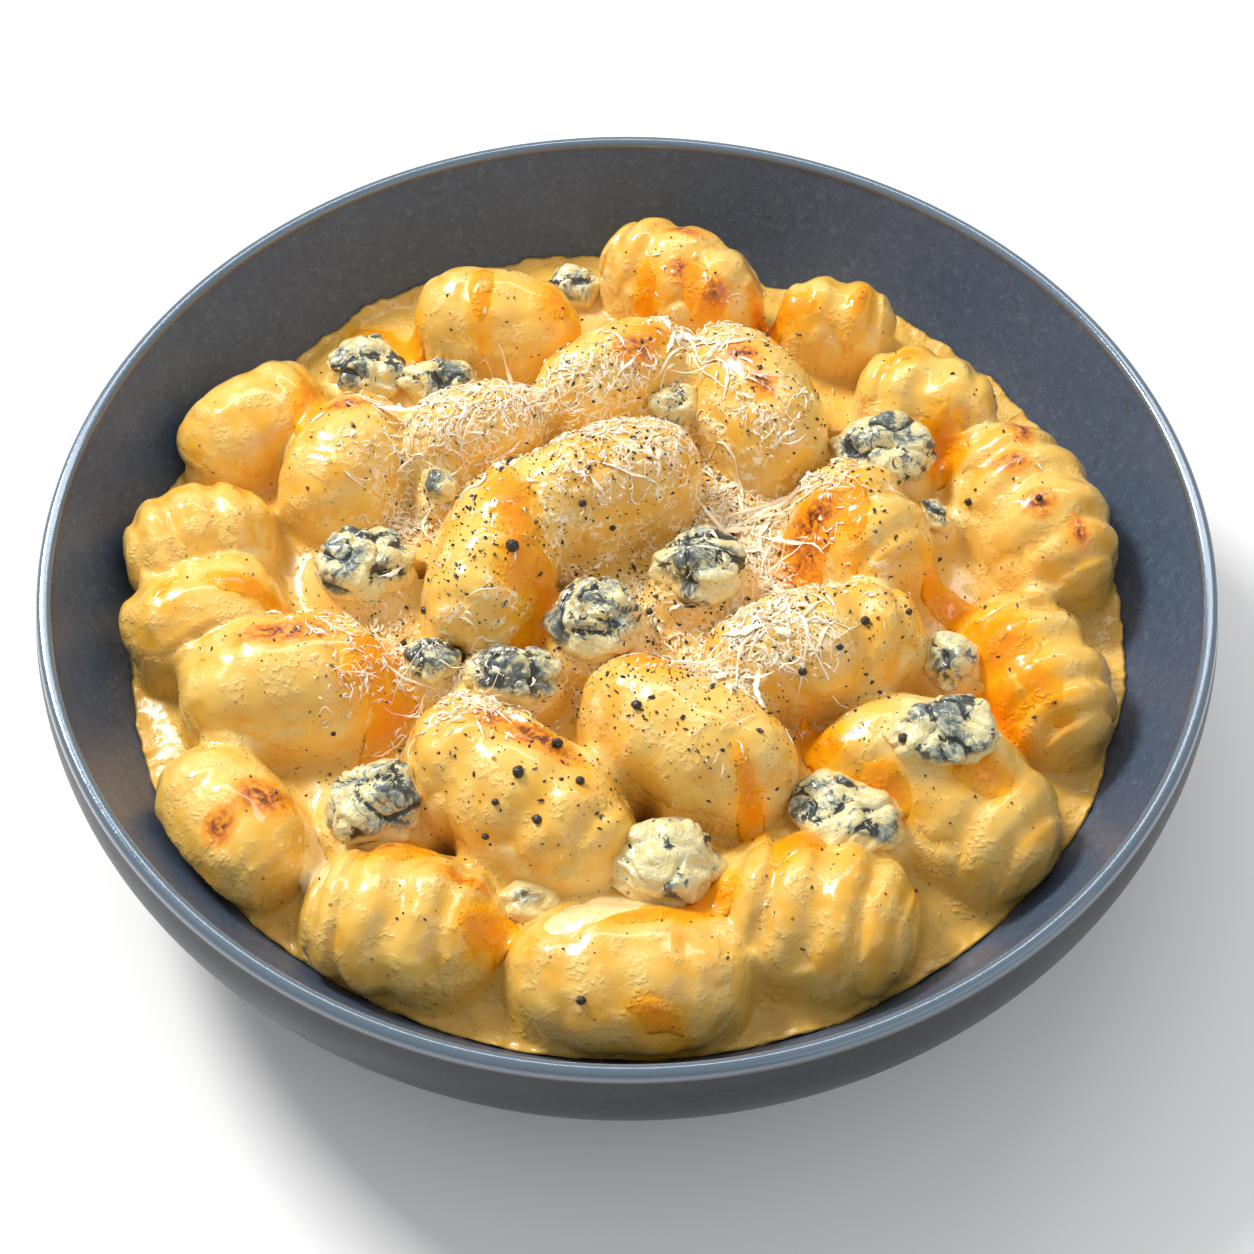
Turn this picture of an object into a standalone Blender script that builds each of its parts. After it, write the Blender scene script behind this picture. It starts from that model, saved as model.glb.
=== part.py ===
"""Potato gnocchi in cheese sauce, heaped in a glazed stoneware pasta bowl.

The bowl is turned, the sauce is a domed bed inside it, and the gnocchi lie half sunk in pockets of the
bed. Crumbles of blue cheese sit between them, and grated cheese and peppercorns are joined to their tops.
Sizes are in millimetres and go through MM when a mesh is made. The origin is the middle of the foot ring.
"""
import random
from dataclasses import dataclass
from math import atan2, cos, hypot, pi, radians, sin

import bmesh
import bpy
from mathutils import Vector, noise
from mathutils.bvhtree import BVHTree
from mathutils.geometry import interpolate_bezier

MM = 0.001

# Driving dimensions
BOWL_RADIUS = 100.0
BOWL_HEIGHT = 46.0
LIP_THICKNESS = 2.8
FOOT_RADIUS = 57.0
FOOT_WIDTH = 4.0
FOOT_DEPTH = 2.4
FLOOR_THICKNESS = 5.0
SAUCE_RADIUS = 86.8
SAUCE_RIM_LEVEL = 25.7
SAUCE_DOME = 8.0
HEAP_TOP = 49.5
HEAP_FALL = 7.0
HEAP_FALL_RADIUS = 80.0
GAP = 0.3
WALL_FILM = 1.8

# Fineness of the turned and rounded pieces
BOWL_STEPS = 64
SAUCE_STEPS = 32
AROUND = 10
ROUND_BODY_RINGS = 8
RINGS_PER_RIDGE = 2

# Form of a gnocco
FULLNESS = 2.35
RIDGE_DEPTH = 0.1
LUMPINESS = 0.035
BEND = 0.06

# Grated cheese and pepper joined to the middle of the heap
SHRED_LENGTH = 9.0
SHRED_WIDTH = 1.3
SHREDS_PER_GNOCCO = 3
SHRED_POINTS = 5
PEPPER_RADIUS = 1.1
PEPPERS_PER_GNOCCO = 2
TOPPING_CLEARANCE = 1.2
GRATED_RADIUS = 52.0


@dataclass(frozen=True)
class Gnocco:
    """One dumpling: its place in the bowl, the bearing of its long axis, its size and its ridges."""

    x: float
    y: float
    yaw: float
    length: float
    width: float
    height: float
    ridges: int = 0
    lift: float = 0.0

    @property
    def centre(self) -> Vector:
        """Middle of the body, from how high the heap is there."""
        top = HEAP_TOP - HEAP_FALL * (hypot(self.x, self.y) / HEAP_FALL_RADIUS) ** 2 + self.lift
        return Vector((self.x, self.y, top - self.height / 2))

    @property
    def axis(self) -> Vector:
        """Unit vector along the body."""
        return Vector((cos(radians(self.yaw)), sin(radians(self.yaw)), 0.0))


@dataclass(frozen=True)
class Crumble:
    """One lump of blue cheese: its place, its size, and how far its middle is above the sauce."""

    x: float
    y: float
    length: float
    width: float
    height: float
    lift: float


GNOCCHI = [
    Gnocco(-75.5, 9.0, 20, 27, 22, 21, ridges=5),
    Gnocco(-73.0, -7.5, 22, 28, 21, 20, lift=-1),
    Gnocco(-57.0, -22.0, 8, 37, 25, 24),
    Gnocco(-64.5, -48.0, -52, 30, 21, 20, lift=-1),
    Gnocco(-35.5, -66.0, -12, 33, 26, 24, ridges=6, lift=-1),
    Gnocco(0.5, -75.5, -3, 38, 25, 23, lift=-1),
    Gnocco(30.5, -64.0, -14, 33, 27, 25, ridges=6, lift=-1),
    Gnocco(55.0, -43.0, -44, 37, 26, 25, ridges=5, lift=-1),
    Gnocco(70.0, -17.5, -66, 33, 23, 23, ridges=6, lift=-1),
    Gnocco(72.5, 17.0, -66, 38, 25, 25, ridges=6, lift=1),
    Gnocco(54.5, 41.5, -20, 26, 19, 19, ridges=4),
    Gnocco(39.0, 61.0, -10, 22, 17, 18, ridges=4),
    Gnocco(10.0, 71.0, -32, 33, 21, 22, ridges=5, lift=2),
    Gnocco(-24.5, 59.5, -15, 32, 20, 21, lift=1),
    Gnocco(-68.0, 36.5, 42, 29, 21, 21),
    Gnocco(-50.0, 25.0, 68, 30, 22, 23),
    Gnocco(-2.5, 43.0, 32, 31, 20, 23, lift=2),
    Gnocco(22.5, 37.5, -62, 34, 22, 24, lift=2),
    Gnocco(-4.5, 17.0, 22, 36, 21, 23, lift=2),
    Gnocco(-23.0, 1.0, 76, 36, 22, 25, lift=2),
    Gnocco(41.0, 9.5, -58, 28, 22, 24, ridges=4),
    Gnocco(32.0, -16.5, 14, 38, 22, 23, ridges=5, lift=1),
    Gnocco(10.0, -35.0, -32, 38, 23, 24, lift=2),
    Gnocco(-17.5, -44.5, -38, 43, 24, 24, ridges=5, lift=1),
    Gnocco(-27.5, 30.0, 15, 25, 18, 18),
    Gnocco(41.5, -34.5, 30, 21, 15, 18, lift=-3),
]

CRUMBLES = [
    Crumble(-48.5, 49.5, 14, 12, 10, 5),
    Crumble(-34.5, 45.5, 13, 9, 9, 4),
    Crumble(-10.5, 74.0, 10, 9, 9, 2),
    Crumble(7.5, 36.5, 9, 8, 9, 6),
    Crumble(-33.0, 19.0, 6, 6, 6, 5),
    Crumble(45.0, 27.0, 17, 12, 12, 6),
    Crumble(54.0, 14.5, 6, 6, 6, 4),
    Crumble(-45.5, 2.0, 16, 12, 11, 5),
    Crumble(13.0, -1.5, 15, 12, 11, 7),
    Crumble(-5.0, -13.0, 15, 14, 12, 8),
    Crumble(-19.5, -23.5, 15, 9, 9, 7),
    Crumble(-33.0, -19.5, 9, 8, 8, 5),
    Crumble(55.0, -17.5, 8, 9, 9, 5),
    Crumble(51.0, -37.0, 17, 13, 9, 15),
    Crumble(-41.0, -46.0, 15, 13, 12, 5),
    Crumble(6.5, -58.0, 18, 13, 12, 6),
    Crumble(36.0, -48.0, 17, 15, 9, 5),
    Crumble(-16.0, -63.0, 11, 7, 6, 3),
]


def clear_scene() -> None:
    """Remove the objects that the new file opens with."""
    for obj in list(bpy.data.objects):
        bpy.data.objects.remove(obj, do_unlink=True)


def make_material(name: str, colour: tuple, roughness: float) -> bpy.types.Material:
    """Make a plain material of one colour."""
    material = bpy.data.materials.new(name)
    material.use_nodes = True
    shader = material.node_tree.nodes["Principled BSDF"]
    shader.inputs["Base Color"].default_value = (*colour, 1.0)
    shader.inputs["Roughness"].default_value = roughness
    shader.inputs["Metallic"].default_value = 0.0
    return material


def add_object(name: str, mesh: bpy.types.Mesh, collection, material=None) -> bpy.types.Object:
    """Put a mesh into the scene as an object, shaded smooth."""
    obj = bpy.data.objects.new(name, mesh)
    collection.objects.link(obj)
    if material is not None:
        mesh.materials.append(material)
        mesh.shade_smooth()
    return obj


def bezier(points: list, count: int) -> list:
    """Points along one cubic curve in the plane of the bowl's section, as (radius, height) pairs."""
    knots = [Vector((radius, 0.0, height)) for radius, height in points]
    return [(p.x, p.z) for p in interpolate_bezier(*knots, count)]


def inner_wall(count: int) -> list:
    """The bowl's inner wall from the lip down to the edge of its flat floor."""
    start = (BOWL_RADIUS - LIP_THICKNESS, BOWL_HEIGHT - 1.2)
    return bezier([start, (92.5, 34.0), (84.0, 9.0), (50.0, FLOOR_THICKNESS + FOOT_DEPTH)], count)


def outer_wall(count: int) -> list:
    """The bowl's outer wall from the lip down to the foot: nearly upright, then curving under."""
    start = (BOWL_RADIUS - 0.2, BOWL_HEIGHT - 1.4)
    return bezier([start, (104.7, 26.0), (85.0, 3.2), (FOOT_RADIUS, 4.0)], count)


def wall_radius(height: float) -> float:
    """Radius of the inner wall at a height."""
    wall = inner_wall(24)
    for (upper_r, upper_z), (lower_r, lower_z) in zip(wall, wall[1:]):
        if lower_z <= height <= upper_z:
            share = (height - lower_z) / (upper_z - lower_z)
            return lower_r + share * (upper_r - lower_r)
    return wall[0][0] if height > wall[0][1] else wall[-1][0]


def sauce_level(radius: float) -> float:
    """Height of the sauce's domed top at a distance from the middle."""
    return SAUCE_RIM_LEVEL + SAUCE_DOME * (1.0 - (radius / SAUCE_RADIUS) ** 2)


def turned(name: str, section: list, steps: int, collection, material) -> bpy.types.Object:
    """Turn a section, given from the axis out, down the outer side and back to the axis."""
    mesh = bpy.data.meshes.new(name)
    points = [(radius * MM, 0.0, height * MM) for radius, height in section]
    mesh.from_pydata(points, [(i, i + 1) for i in range(len(points) - 1)], [])
    obj = add_object(name, mesh, collection, material)
    screw = obj.modifiers.new("turn", "SCREW")
    screw.steps = steps
    screw.render_steps = steps
    screw.use_merge_vertices = True
    screw.merge_threshold = 0.00001
    return obj


def build_bowl(collection, material) -> bpy.types.Object:
    """The bowl: floor, rounded inner wall, rolled lip, outer wall and a low foot ring."""
    floor = FLOOR_THICKNESS + FOOT_DEPTH
    middle_of_lip = BOWL_RADIUS - LIP_THICKNESS / 2
    section = [(0.0, floor)] + inner_wall(7)[::-1]
    section += [(middle_of_lip - 0.7, BOWL_HEIGHT - 0.1), (middle_of_lip + 0.6, BOWL_HEIGHT)]
    section += outer_wall(7)
    section += [(FOOT_RADIUS - 0.5, 0.0), (FOOT_RADIUS - FOOT_WIDTH, 0.0)]
    section += [(FOOT_RADIUS - FOOT_WIDTH - 1.0, FOOT_DEPTH), (0.0, FOOT_DEPTH)]
    return turned("bowl", section, BOWL_STEPS, collection, material)


def build_sauce(collection, material) -> bpy.types.Object:
    """The bed of sauce: domed on top, and a gap inside the bowl's wall and floor."""
    rings = (0.0, 0.2, 0.4, 0.58, 0.74, 0.88, 1.0)
    section = [(SAUCE_RADIUS * ring, sauce_level(SAUCE_RADIUS * ring)) for ring in rings]
    below = [(r - 2 * GAP, z + GAP) for r, z in inner_wall(7) if z < SAUCE_RIM_LEVEL - 2.0]
    section += below + [(0.0, FLOOR_THICKNESS + FOOT_DEPTH + GAP)]
    return turned("sauce", section, SAUCE_STEPS, collection, material)


def pull_inside(point: Vector, centre: Vector, planes: list, film: float) -> Vector:
    """Draw a point towards the body's middle until it is behind every plane and a film off the wall."""
    reach = point - centre
    share = 1.0
    for normal, offset in planes:
        ahead = reach.dot(normal)
        room = offset - centre.dot(normal)
        if ahead > room:
            share = min(share, max(room, 0.0) / ahead)
    moved = centre + reach * share
    while hypot(moved.x, moved.y) > wall_radius(moved.z) - film:
        moved = centre + (moved - centre) * 0.995
    return moved


def nearest_points(a: Gnocco, b: Gnocco) -> tuple:
    """The two nearest points of two bodies' core lines."""
    pairs = []
    for step_a in range(-4, 5):
        on_a = a.centre + a.axis * (a.length - a.width) * step_a / 8
        for step_b in range(-4, 5):
            on_b = b.centre + b.axis * (b.length - b.width) * step_b / 8
            pairs.append(((on_a - on_b).length, on_a, on_b))
    return min(pairs, key=lambda pair: pair[0])


def contact_planes() -> list:
    """For each gnocco, the flat faces where it presses on its neighbours, half a gap short of them."""
    planes = [[] for _ in GNOCCHI]
    for i, a in enumerate(GNOCCHI):
        for j, b in enumerate(GNOCCHI[:i]):
            distance, on_a, on_b = nearest_points(a, b)
            normal = (on_b - on_a).normalized()
            along = (distance + (a.width - b.width) / 2) / 2
            offset = (on_a + normal * along).dot(normal)
            planes[i].append((normal, offset - GAP / 2))
            planes[j].append((-normal, -offset - GAP / 2))
    return planes


def gnocco_mesh(name: str, gnocco: Gnocco, seed: int, planes: list, swell: float) -> bpy.types.Mesh:
    """A stout rounded body with rings pressed into it, a slight bend, and its contacts flattened."""
    rings = gnocco.ridges * RINGS_PER_RIDGE + 2 if gnocco.ridges else ROUND_BODY_RINGS
    body = bmesh.new()
    bmesh.ops.create_uvsphere(body, u_segments=AROUND, v_segments=rings, radius=1.0)
    bmesh.ops.triangulate(body, faces=body.faces)
    across = Vector((-gnocco.axis.y, gnocco.axis.x, 0.0))
    draw = random.Random(seed)
    bend = draw.uniform(-BEND, BEND) * gnocco.length
    for vert in body.verts:
        girth = hypot(vert.co.x, vert.co.y)
        ring = round(atan2(girth, vert.co.z) / pi * rings)
        groove = 1.0 - RIDGE_DEPTH * (ring % 2) if gnocco.ridges else 1.0
        lump = 1.0 + LUMPINESS * noise.noise(vert.co * 1.7 + Vector((seed * 3.1, 0.0, 0.0)))
        along = abs(vert.co.z) ** (2 / FULLNESS) * (1 if vert.co.z > 0 else -1)
        fill = girth ** (2 / FULLNESS) / max(girth, 1e-6) * groove * lump
        local = gnocco.axis * along * (gnocco.length / 2 + swell)
        local += across * (vert.co.x * fill * (gnocco.width / 2 + swell) + bend * (along * along - 0.4))
        local.z += vert.co.y * fill * (gnocco.height / 2 + swell)
        limits = [(normal, offset + swell) for normal, offset in planes]
        vert.co = pull_inside(gnocco.centre + local, gnocco.centre, limits, WALL_FILM - swell) * MM
    mesh = bpy.data.meshes.new(name)
    body.to_mesh(mesh)
    body.free()
    return mesh


def crumble_mesh(name: str, crumble: Crumble, seed: int, gnocchi: list) -> bpy.types.Mesh:
    """A craggy lump of cheese, flattened where it rests on the sauce and on the gnocchi round it."""
    radius = hypot(crumble.x, crumble.y)
    level = sauce_level(radius)
    centre = Vector((crumble.x, crumble.y, level + crumble.lift))
    slope = 2 * SAUCE_DOME * radius / SAUCE_RADIUS**2
    up = Vector((crumble.x / radius * slope, crumble.y / radius * slope, 1.0)).normalized()
    planes = [(-up, -up.dot(Vector((crumble.x, crumble.y, level + GAP))))]
    for gnocco, mesh in zip(GNOCCHI, gnocchi):
        offset = centre - gnocco.centre
        limit = (gnocco.length - gnocco.width) / 2
        foot = gnocco.centre + gnocco.axis * max(-limit, min(limit, offset.dot(gnocco.axis)))
        normal = (centre - foot).normalized()
        face = max(vert.co.dot(normal) for vert in mesh.vertices) / MM + GAP
        planes.append((-normal, -face))
    lump = bmesh.new()
    bmesh.ops.create_icosphere(lump, subdivisions=2, radius=1.0)
    size = Vector((crumble.length / 2, crumble.width / 2, crumble.height / 2))
    for vert in lump.verts:
        crag = 1.0 + 0.28 * noise.noise(vert.co * 2.1 + Vector((seed * 5.3, 1.0, 0.0)))
        vert.co = pull_inside(centre + vert.co * size * crag, centre, planes, WALL_FILM) * MM
    mesh = bpy.data.meshes.new(name)
    lump.to_mesh(mesh)
    lump.free()
    return mesh


def tree_of(mesh: bpy.types.Mesh) -> BVHTree:
    """A search tree over a mesh's faces."""
    return BVHTree.FromPolygons([v.co for v in mesh.vertices], [p.vertices for p in mesh.polygons])


def is_free(point: Vector, others: list) -> bool:
    """Whether a point keeps clear of every other piece."""
    return all(tree.find_nearest(point, TOPPING_CLEARANCE * MM)[0] is None for tree in others)


def shred_mesh(path: list) -> bpy.types.Mesh:
    """A thin flat-sided strip of cheese along a path that dips into the surface at both ends."""
    strip = bmesh.new()
    loops = []
    for i, point in enumerate(path):
        ahead = (path[min(i + 1, len(path) - 1)] - path[max(i - 1, 0)]).normalized()
        side = ahead.cross(Vector((0.0, 0.0, 1.0))).normalized() * SHRED_WIDTH * MM / 2
        corners = (point + side, point - side + Vector((0, 0, SHRED_WIDTH * MM * 0.3)))
        foot = point - Vector((0, 0, SHRED_WIDTH * MM * 1.1))
        loops.append([strip.verts.new(p) for p in (*corners, foot)])
    for first, second in zip(loops, loops[1:]):
        for k in range(3):
            strip.faces.new((first[k], first[(k + 1) % 3], second[(k + 1) % 3], second[k]))
    strip.faces.new(loops[0][::-1])
    strip.faces.new(loops[-1])
    bmesh.ops.recalc_face_normals(strip, faces=strip.faces)
    mesh = bpy.data.meshes.new("shred")
    strip.to_mesh(mesh)
    strip.free()
    return mesh


def shred_path(gnocco: Gnocco, own: BVHTree, draw: random.Random) -> list:
    """A curved line over the top of a gnocco, its points a little above the surface."""
    heading = draw.uniform(0.0, 2 * pi)
    curl = draw.uniform(-0.5, 0.5)
    spot = gnocco.centre + gnocco.axis * draw.uniform(-0.3, 0.3) * gnocco.length
    start = Vector((spot.x, spot.y, 0.0)) + Vector((draw.uniform(-4, 4), draw.uniform(-4, 4), 0.0))
    step = SHRED_LENGTH / (SHRED_POINTS - 1)
    path = []
    for i in range(SHRED_POINTS):
        hit = own.ray_cast(Vector((start.x * MM, start.y * MM, 0.1)), Vector((0, 0, -1)))
        if hit[0] is None or hit[1].z < 0.6:
            return []
        path.append(hit[0] + Vector((0, 0, SHRED_WIDTH * MM * 0.35)))
        start += Vector((cos(heading), sin(heading), 0.0)) * step
        heading += curl
    return path


def add_toppings(obj: bpy.types.Object, gnocco: Gnocco, seed: int, others: list) -> None:
    """Join shreds of grated cheese and peppercorns to the top of one gnocco."""
    draw = random.Random(1000 + seed)
    own = tree_of(obj.data)
    toppings = bpy.data.collections.new("toppings")
    bpy.context.scene.collection.children.link(toppings)
    placed = []
    for _ in range(40):
        if len(toppings.objects) == SHREDS_PER_GNOCCO + PEPPERS_PER_GNOCCO:
            break
        path = shred_path(gnocco, own, draw)
        if not path or not all(is_free(p, others) for p in path):
            continue
        if any((p - q).length < 2.5 * SHRED_WIDTH * MM for p in path for q in placed):
            continue
        if len(toppings.objects) < SHREDS_PER_GNOCCO:
            add_object("shred", shred_mesh(path), toppings)
            placed += path
            continue
        corn = bmesh.new()
        bmesh.ops.create_icosphere(corn, subdivisions=1, radius=PEPPER_RADIUS * MM)
        bmesh.ops.translate(corn, vec=path[0], verts=corn.verts)
        mesh = bpy.data.meshes.new("peppercorn")
        corn.to_mesh(mesh)
        corn.free()
        add_object("peppercorn", mesh, toppings)
        placed.append(path[0])
    join_collection(obj, toppings)


def join_collection(obj: bpy.types.Object, toppings) -> None:
    """Join a collection's pieces to an object for good, and remove the loose pieces."""
    if toppings.objects:
        union = obj.modifiers.new("join", "BOOLEAN")
        union.operation = "UNION"
        union.operand_type = "COLLECTION"
        union.collection = toppings
        union.solver = "EXACT"
        joined = bpy.data.meshes.new_from_object(obj.evaluated_get(bpy.context.evaluated_depsgraph_get()))
        obj.modifiers.clear()
        obj.data = joined
    for piece in list(toppings.objects):
        bpy.data.objects.remove(piece, do_unlink=True)
    bpy.data.collections.remove(toppings)


def main() -> None:
    """Build every piece of the dish."""
    clear_scene()
    dish = bpy.data.collections.new("gnocchi_bowl")
    cutters = bpy.data.collections.new("cutters")
    for collection in (dish, cutters):
        bpy.context.scene.collection.children.link(collection)

    glaze = make_material("slate_glaze", (0.12, 0.15, 0.19), 0.45)
    cream = make_material("cheese_sauce", (0.78, 0.58, 0.28), 0.25)
    potato = make_material("gnocchi_dough", (0.80, 0.55, 0.20), 0.35)
    blue = make_material("blue_cheese", (0.55, 0.58, 0.42), 0.55)

    build_bowl(dish, glaze)
    sauce = build_sauce(dish, cream)

    planes = contact_planes()
    bodies = []
    for number, (gnocco, limits) in enumerate(zip(GNOCCHI, planes), start=1):
        name = f"gnocco_{number:02d}"
        bodies.append(gnocco_mesh(name, gnocco, number, limits, 0.0))
        add_object(name, bodies[-1], dish, potato)
        pocket = gnocco_mesh(f"pocket_{number:02d}", gnocco, number, limits, GAP)
        cutter = add_object(f"pocket_{number:02d}", pocket, cutters)
        cutter.hide_render = True
        cutter.display_type = "WIRE"
    cut = sauce.modifiers.new("pockets", "BOOLEAN")
    cut.operation = "DIFFERENCE"
    cut.operand_type = "COLLECTION"
    cut.collection = cutters
    cut.solver = "EXACT"

    lumps = []
    for number, crumble in enumerate(CRUMBLES, start=1):
        name = f"blue_cheese_{number:02d}"
        lumps.append(crumble_mesh(name, crumble, number, bodies))
        add_object(name, lumps[-1], dish, blue)

    trees = [tree_of(mesh) for mesh in bodies]
    lump_trees = [tree_of(mesh) for mesh in lumps]
    for number, gnocco in enumerate(GNOCCHI, start=1):
        if hypot(gnocco.x, gnocco.y) < GRATED_RADIUS:
            others = trees[: number - 1] + trees[number:] + lump_trees
            add_toppings(dish.objects[f"gnocco_{number:02d}"], gnocco, number, others)


main()
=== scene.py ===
"""Looks of a stoneware bowl of potato gnocchi in melted cheese sauce.

The gnocchi are modelled again in fine mesh from the same few sizes as the solids. A height map of the
heap is worked out from them: the sauce is the smooth skin that fills the gaps and creeps up their sides,
and the melted cheddar lies on it. Grated cheese, pepper and browned spots follow the same map. Sizes of
the food are in millimetres and go through MM when a mesh is made. Colours are in linear light.
"""

import logging
import math
import random
from dataclasses import dataclass, field
from enum import Enum
from typing import Iterable, Sequence

import bmesh
import bpy
import numpy as np
from bmesh.types import BMesh
from bpy.types import Mesh, NodeTree, NodeSocket as Socket
from mathutils import Matrix, Vector, noise
from mathutils.bvhtree import BVHTree
from mathutils.geometry import interpolate_bezier

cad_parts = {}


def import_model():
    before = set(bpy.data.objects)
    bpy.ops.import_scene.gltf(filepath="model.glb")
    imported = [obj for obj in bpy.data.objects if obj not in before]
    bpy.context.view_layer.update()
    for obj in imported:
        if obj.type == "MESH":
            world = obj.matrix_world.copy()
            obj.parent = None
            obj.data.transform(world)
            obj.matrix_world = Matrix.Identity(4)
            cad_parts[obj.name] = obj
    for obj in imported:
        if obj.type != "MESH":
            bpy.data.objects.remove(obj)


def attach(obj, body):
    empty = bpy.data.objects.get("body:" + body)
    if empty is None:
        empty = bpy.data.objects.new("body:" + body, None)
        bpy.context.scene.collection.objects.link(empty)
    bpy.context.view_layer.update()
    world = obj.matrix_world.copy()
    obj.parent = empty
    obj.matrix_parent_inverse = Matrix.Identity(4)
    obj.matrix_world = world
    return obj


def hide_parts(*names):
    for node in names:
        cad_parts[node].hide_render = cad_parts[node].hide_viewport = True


LOG = logging.getLogger("gnocchi")
MM = 0.001
BODY = "root"
IMAGE_SIZE = 1254
VALUE, VECTOR, COLOUR = "NodeSocketFloat", "NodeSocketVector", "NodeSocketColor"
Triple = tuple[float, float, float]
Planes = list[tuple[np.ndarray, float]]


class Slot(Enum):
    """Material slots of the record, passed along with each new piece."""

    GLAZE = "glaze"
    SAUCE = "sauce"
    DOUGH = "dough"
    BLUE = "blue_cheese"
    GRATED = "grated_cheese"
    PEPPER = "pepper"


def smoothstep(low: float, high: float, value: np.ndarray) -> np.ndarray:
    """Ease from 0 at low to 1 at high."""
    share = np.clip((value - low) / (high - low), 0.0, 1.0)
    return share * share * (3.0 - 2.0 * share)


def noise_at(points: np.ndarray, scale: float, seed: float) -> np.ndarray:
    """Smooth noise from -1 to 1 at each point.

    Args:
        points: Places as an array of rows of two or three numbers, in millimetres.
        scale: Size of the noise's lumps, in millimetres.
        seed: Moves the noise to another part of its pattern.

    Returns:
        One value for each point.
    """
    full = np.zeros((len(points), 3))
    full[:, : points.shape[1]] = points / scale
    full[:, 2] += seed * 7.31
    return np.array([noise.noise(p) for p in full.tolist()])


def interp_map(image: np.ndarray, x: np.ndarray, y: np.ndarray) -> np.ndarray:
    """Read a raster between its cells.

    Args:
        image: Raster indexed by column along x and row along y.
        x: Column coordinates, in cells.
        y: Row coordinates, in cells.

    Returns:
        The blended values.
    """
    x = np.clip(x, 0, image.shape[0] - 1.001)
    y = np.clip(y, 0, image.shape[1] - 1.001)
    i, j = x.astype(int), y.astype(int)
    u, v = x - i, y - j
    low = image[i, j] * (1 - u) + image[i + 1, j] * u
    high = image[i, j + 1] * (1 - u) + image[i + 1, j + 1] * u
    return low * (1 - v) + high * v


def blur(image: np.ndarray, radius: int, passes: int = 3) -> np.ndarray:
    """Blur a raster with a few box blurs.

    Args:
        image: The raster.
        radius: Half width of the box, in cells.
        passes: How many box blurs, three being close to a Gaussian.

    Returns:
        The blurred raster.
    """
    size = 2 * radius + 1
    for _ in range(passes):
        for axis in (0, 1):
            padded = np.concatenate([np.repeat(np.take(image, [0], axis), radius + 1, axis), image,
                                     np.repeat(np.take(image, [-1], axis), radius, axis)], axis)
            total = np.cumsum(padded, axis)
            count = image.shape[axis]
            ahead = np.take(total, range(size, size + count), axis)
            image = (ahead - np.take(total, range(count), axis)) / size
    return image


@dataclass(frozen=True)
class BowlForm:
    """Section of the bowl, in millimetres."""

    radius: float = 100.0
    height: float = 46.0
    lip_thickness: float = 2.8
    foot_radius: float = 57.0
    foot_width: float = 4.0
    foot_depth: float = 2.4
    floor_thickness: float = 5.0

    def _curve(self, points: Sequence[tuple[float, float]], count: int) -> list[tuple[float, float]]:
        """Points along one cubic curve of the section."""
        knots = [Vector((radius, 0.0, height)) for radius, height in points]
        return [(p.x, p.z) for p in interpolate_bezier(*knots, count)]

    def inner_wall(self, count: int) -> list[tuple[float, float]]:
        """The inner wall from the lip down to the floor's edge."""
        lip = (self.radius - self.lip_thickness, self.height - 1.2)
        floor = (50.0, self.floor_thickness + self.foot_depth)
        return self._curve([lip, (92.5, 34.0), (84.0, 9.0), floor], count)

    def outer_wall(self, count: int) -> list[tuple[float, float]]:
        """The outer wall from the lip down to the foot."""
        lip = (self.radius - 0.2, self.height - 1.4)
        return self._curve([lip, (104.7, 26.0), (85.0, 3.2), (self.foot_radius, 4.0)], count)

    def wall_radius(self, heights: np.ndarray) -> np.ndarray:
        """Radius of the inner wall at each height."""
        wall = np.array(self.inner_wall(40))[::-1]
        return np.interp(heights, wall[:, 1], wall[:, 0])


@dataclass(frozen=True)
class HeapForm:
    """Levels of the sauce and the heap, in millimetres, the same as the solids have."""

    top: float = 49.5
    fall: float = 7.0
    fall_radius: float = 80.0
    sauce_radius: float = 86.8
    sauce_rim_level: float = 25.7
    sauce_dome: float = 8.0
    gap: float = 0.3
    wall_film: float = 1.8

    def heap_level(self, radius: float) -> float:
        """Height of the gnocchi's tops at a distance from the middle."""
        return self.top - self.fall * (radius / self.fall_radius) ** 2

    def sauce_level(self, radius: np.ndarray) -> np.ndarray:
        """Height of the plain sauce at a distance from the middle."""
        return self.sauce_rim_level + self.sauce_dome * (1.0 - (radius / self.sauce_radius) ** 2)


BOWL = BowlForm()
HEAP = HeapForm()


@dataclass(frozen=True)
class Dumpling:
    """One gnocco: its place, the bearing of its long axis, its size and its ridges."""

    x: float
    y: float
    yaw: float
    length: float
    width: float
    height: float
    ridges: int = 0
    lift: float = 0.0

    @property
    def centre(self) -> np.ndarray:
        """Middle of the body."""
        top = HEAP.heap_level(math.hypot(self.x, self.y)) + self.lift
        return np.array((self.x, self.y, top - self.height / 2))

    @property
    def axis(self) -> np.ndarray:
        """Unit vector along the body."""
        return np.array((math.cos(math.radians(self.yaw)), math.sin(math.radians(self.yaw)), 0.0))

    @property
    def across(self) -> np.ndarray:
        """Unit vector across the body, level."""
        return np.array((-self.axis[1], self.axis[0], 0.0))


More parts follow.
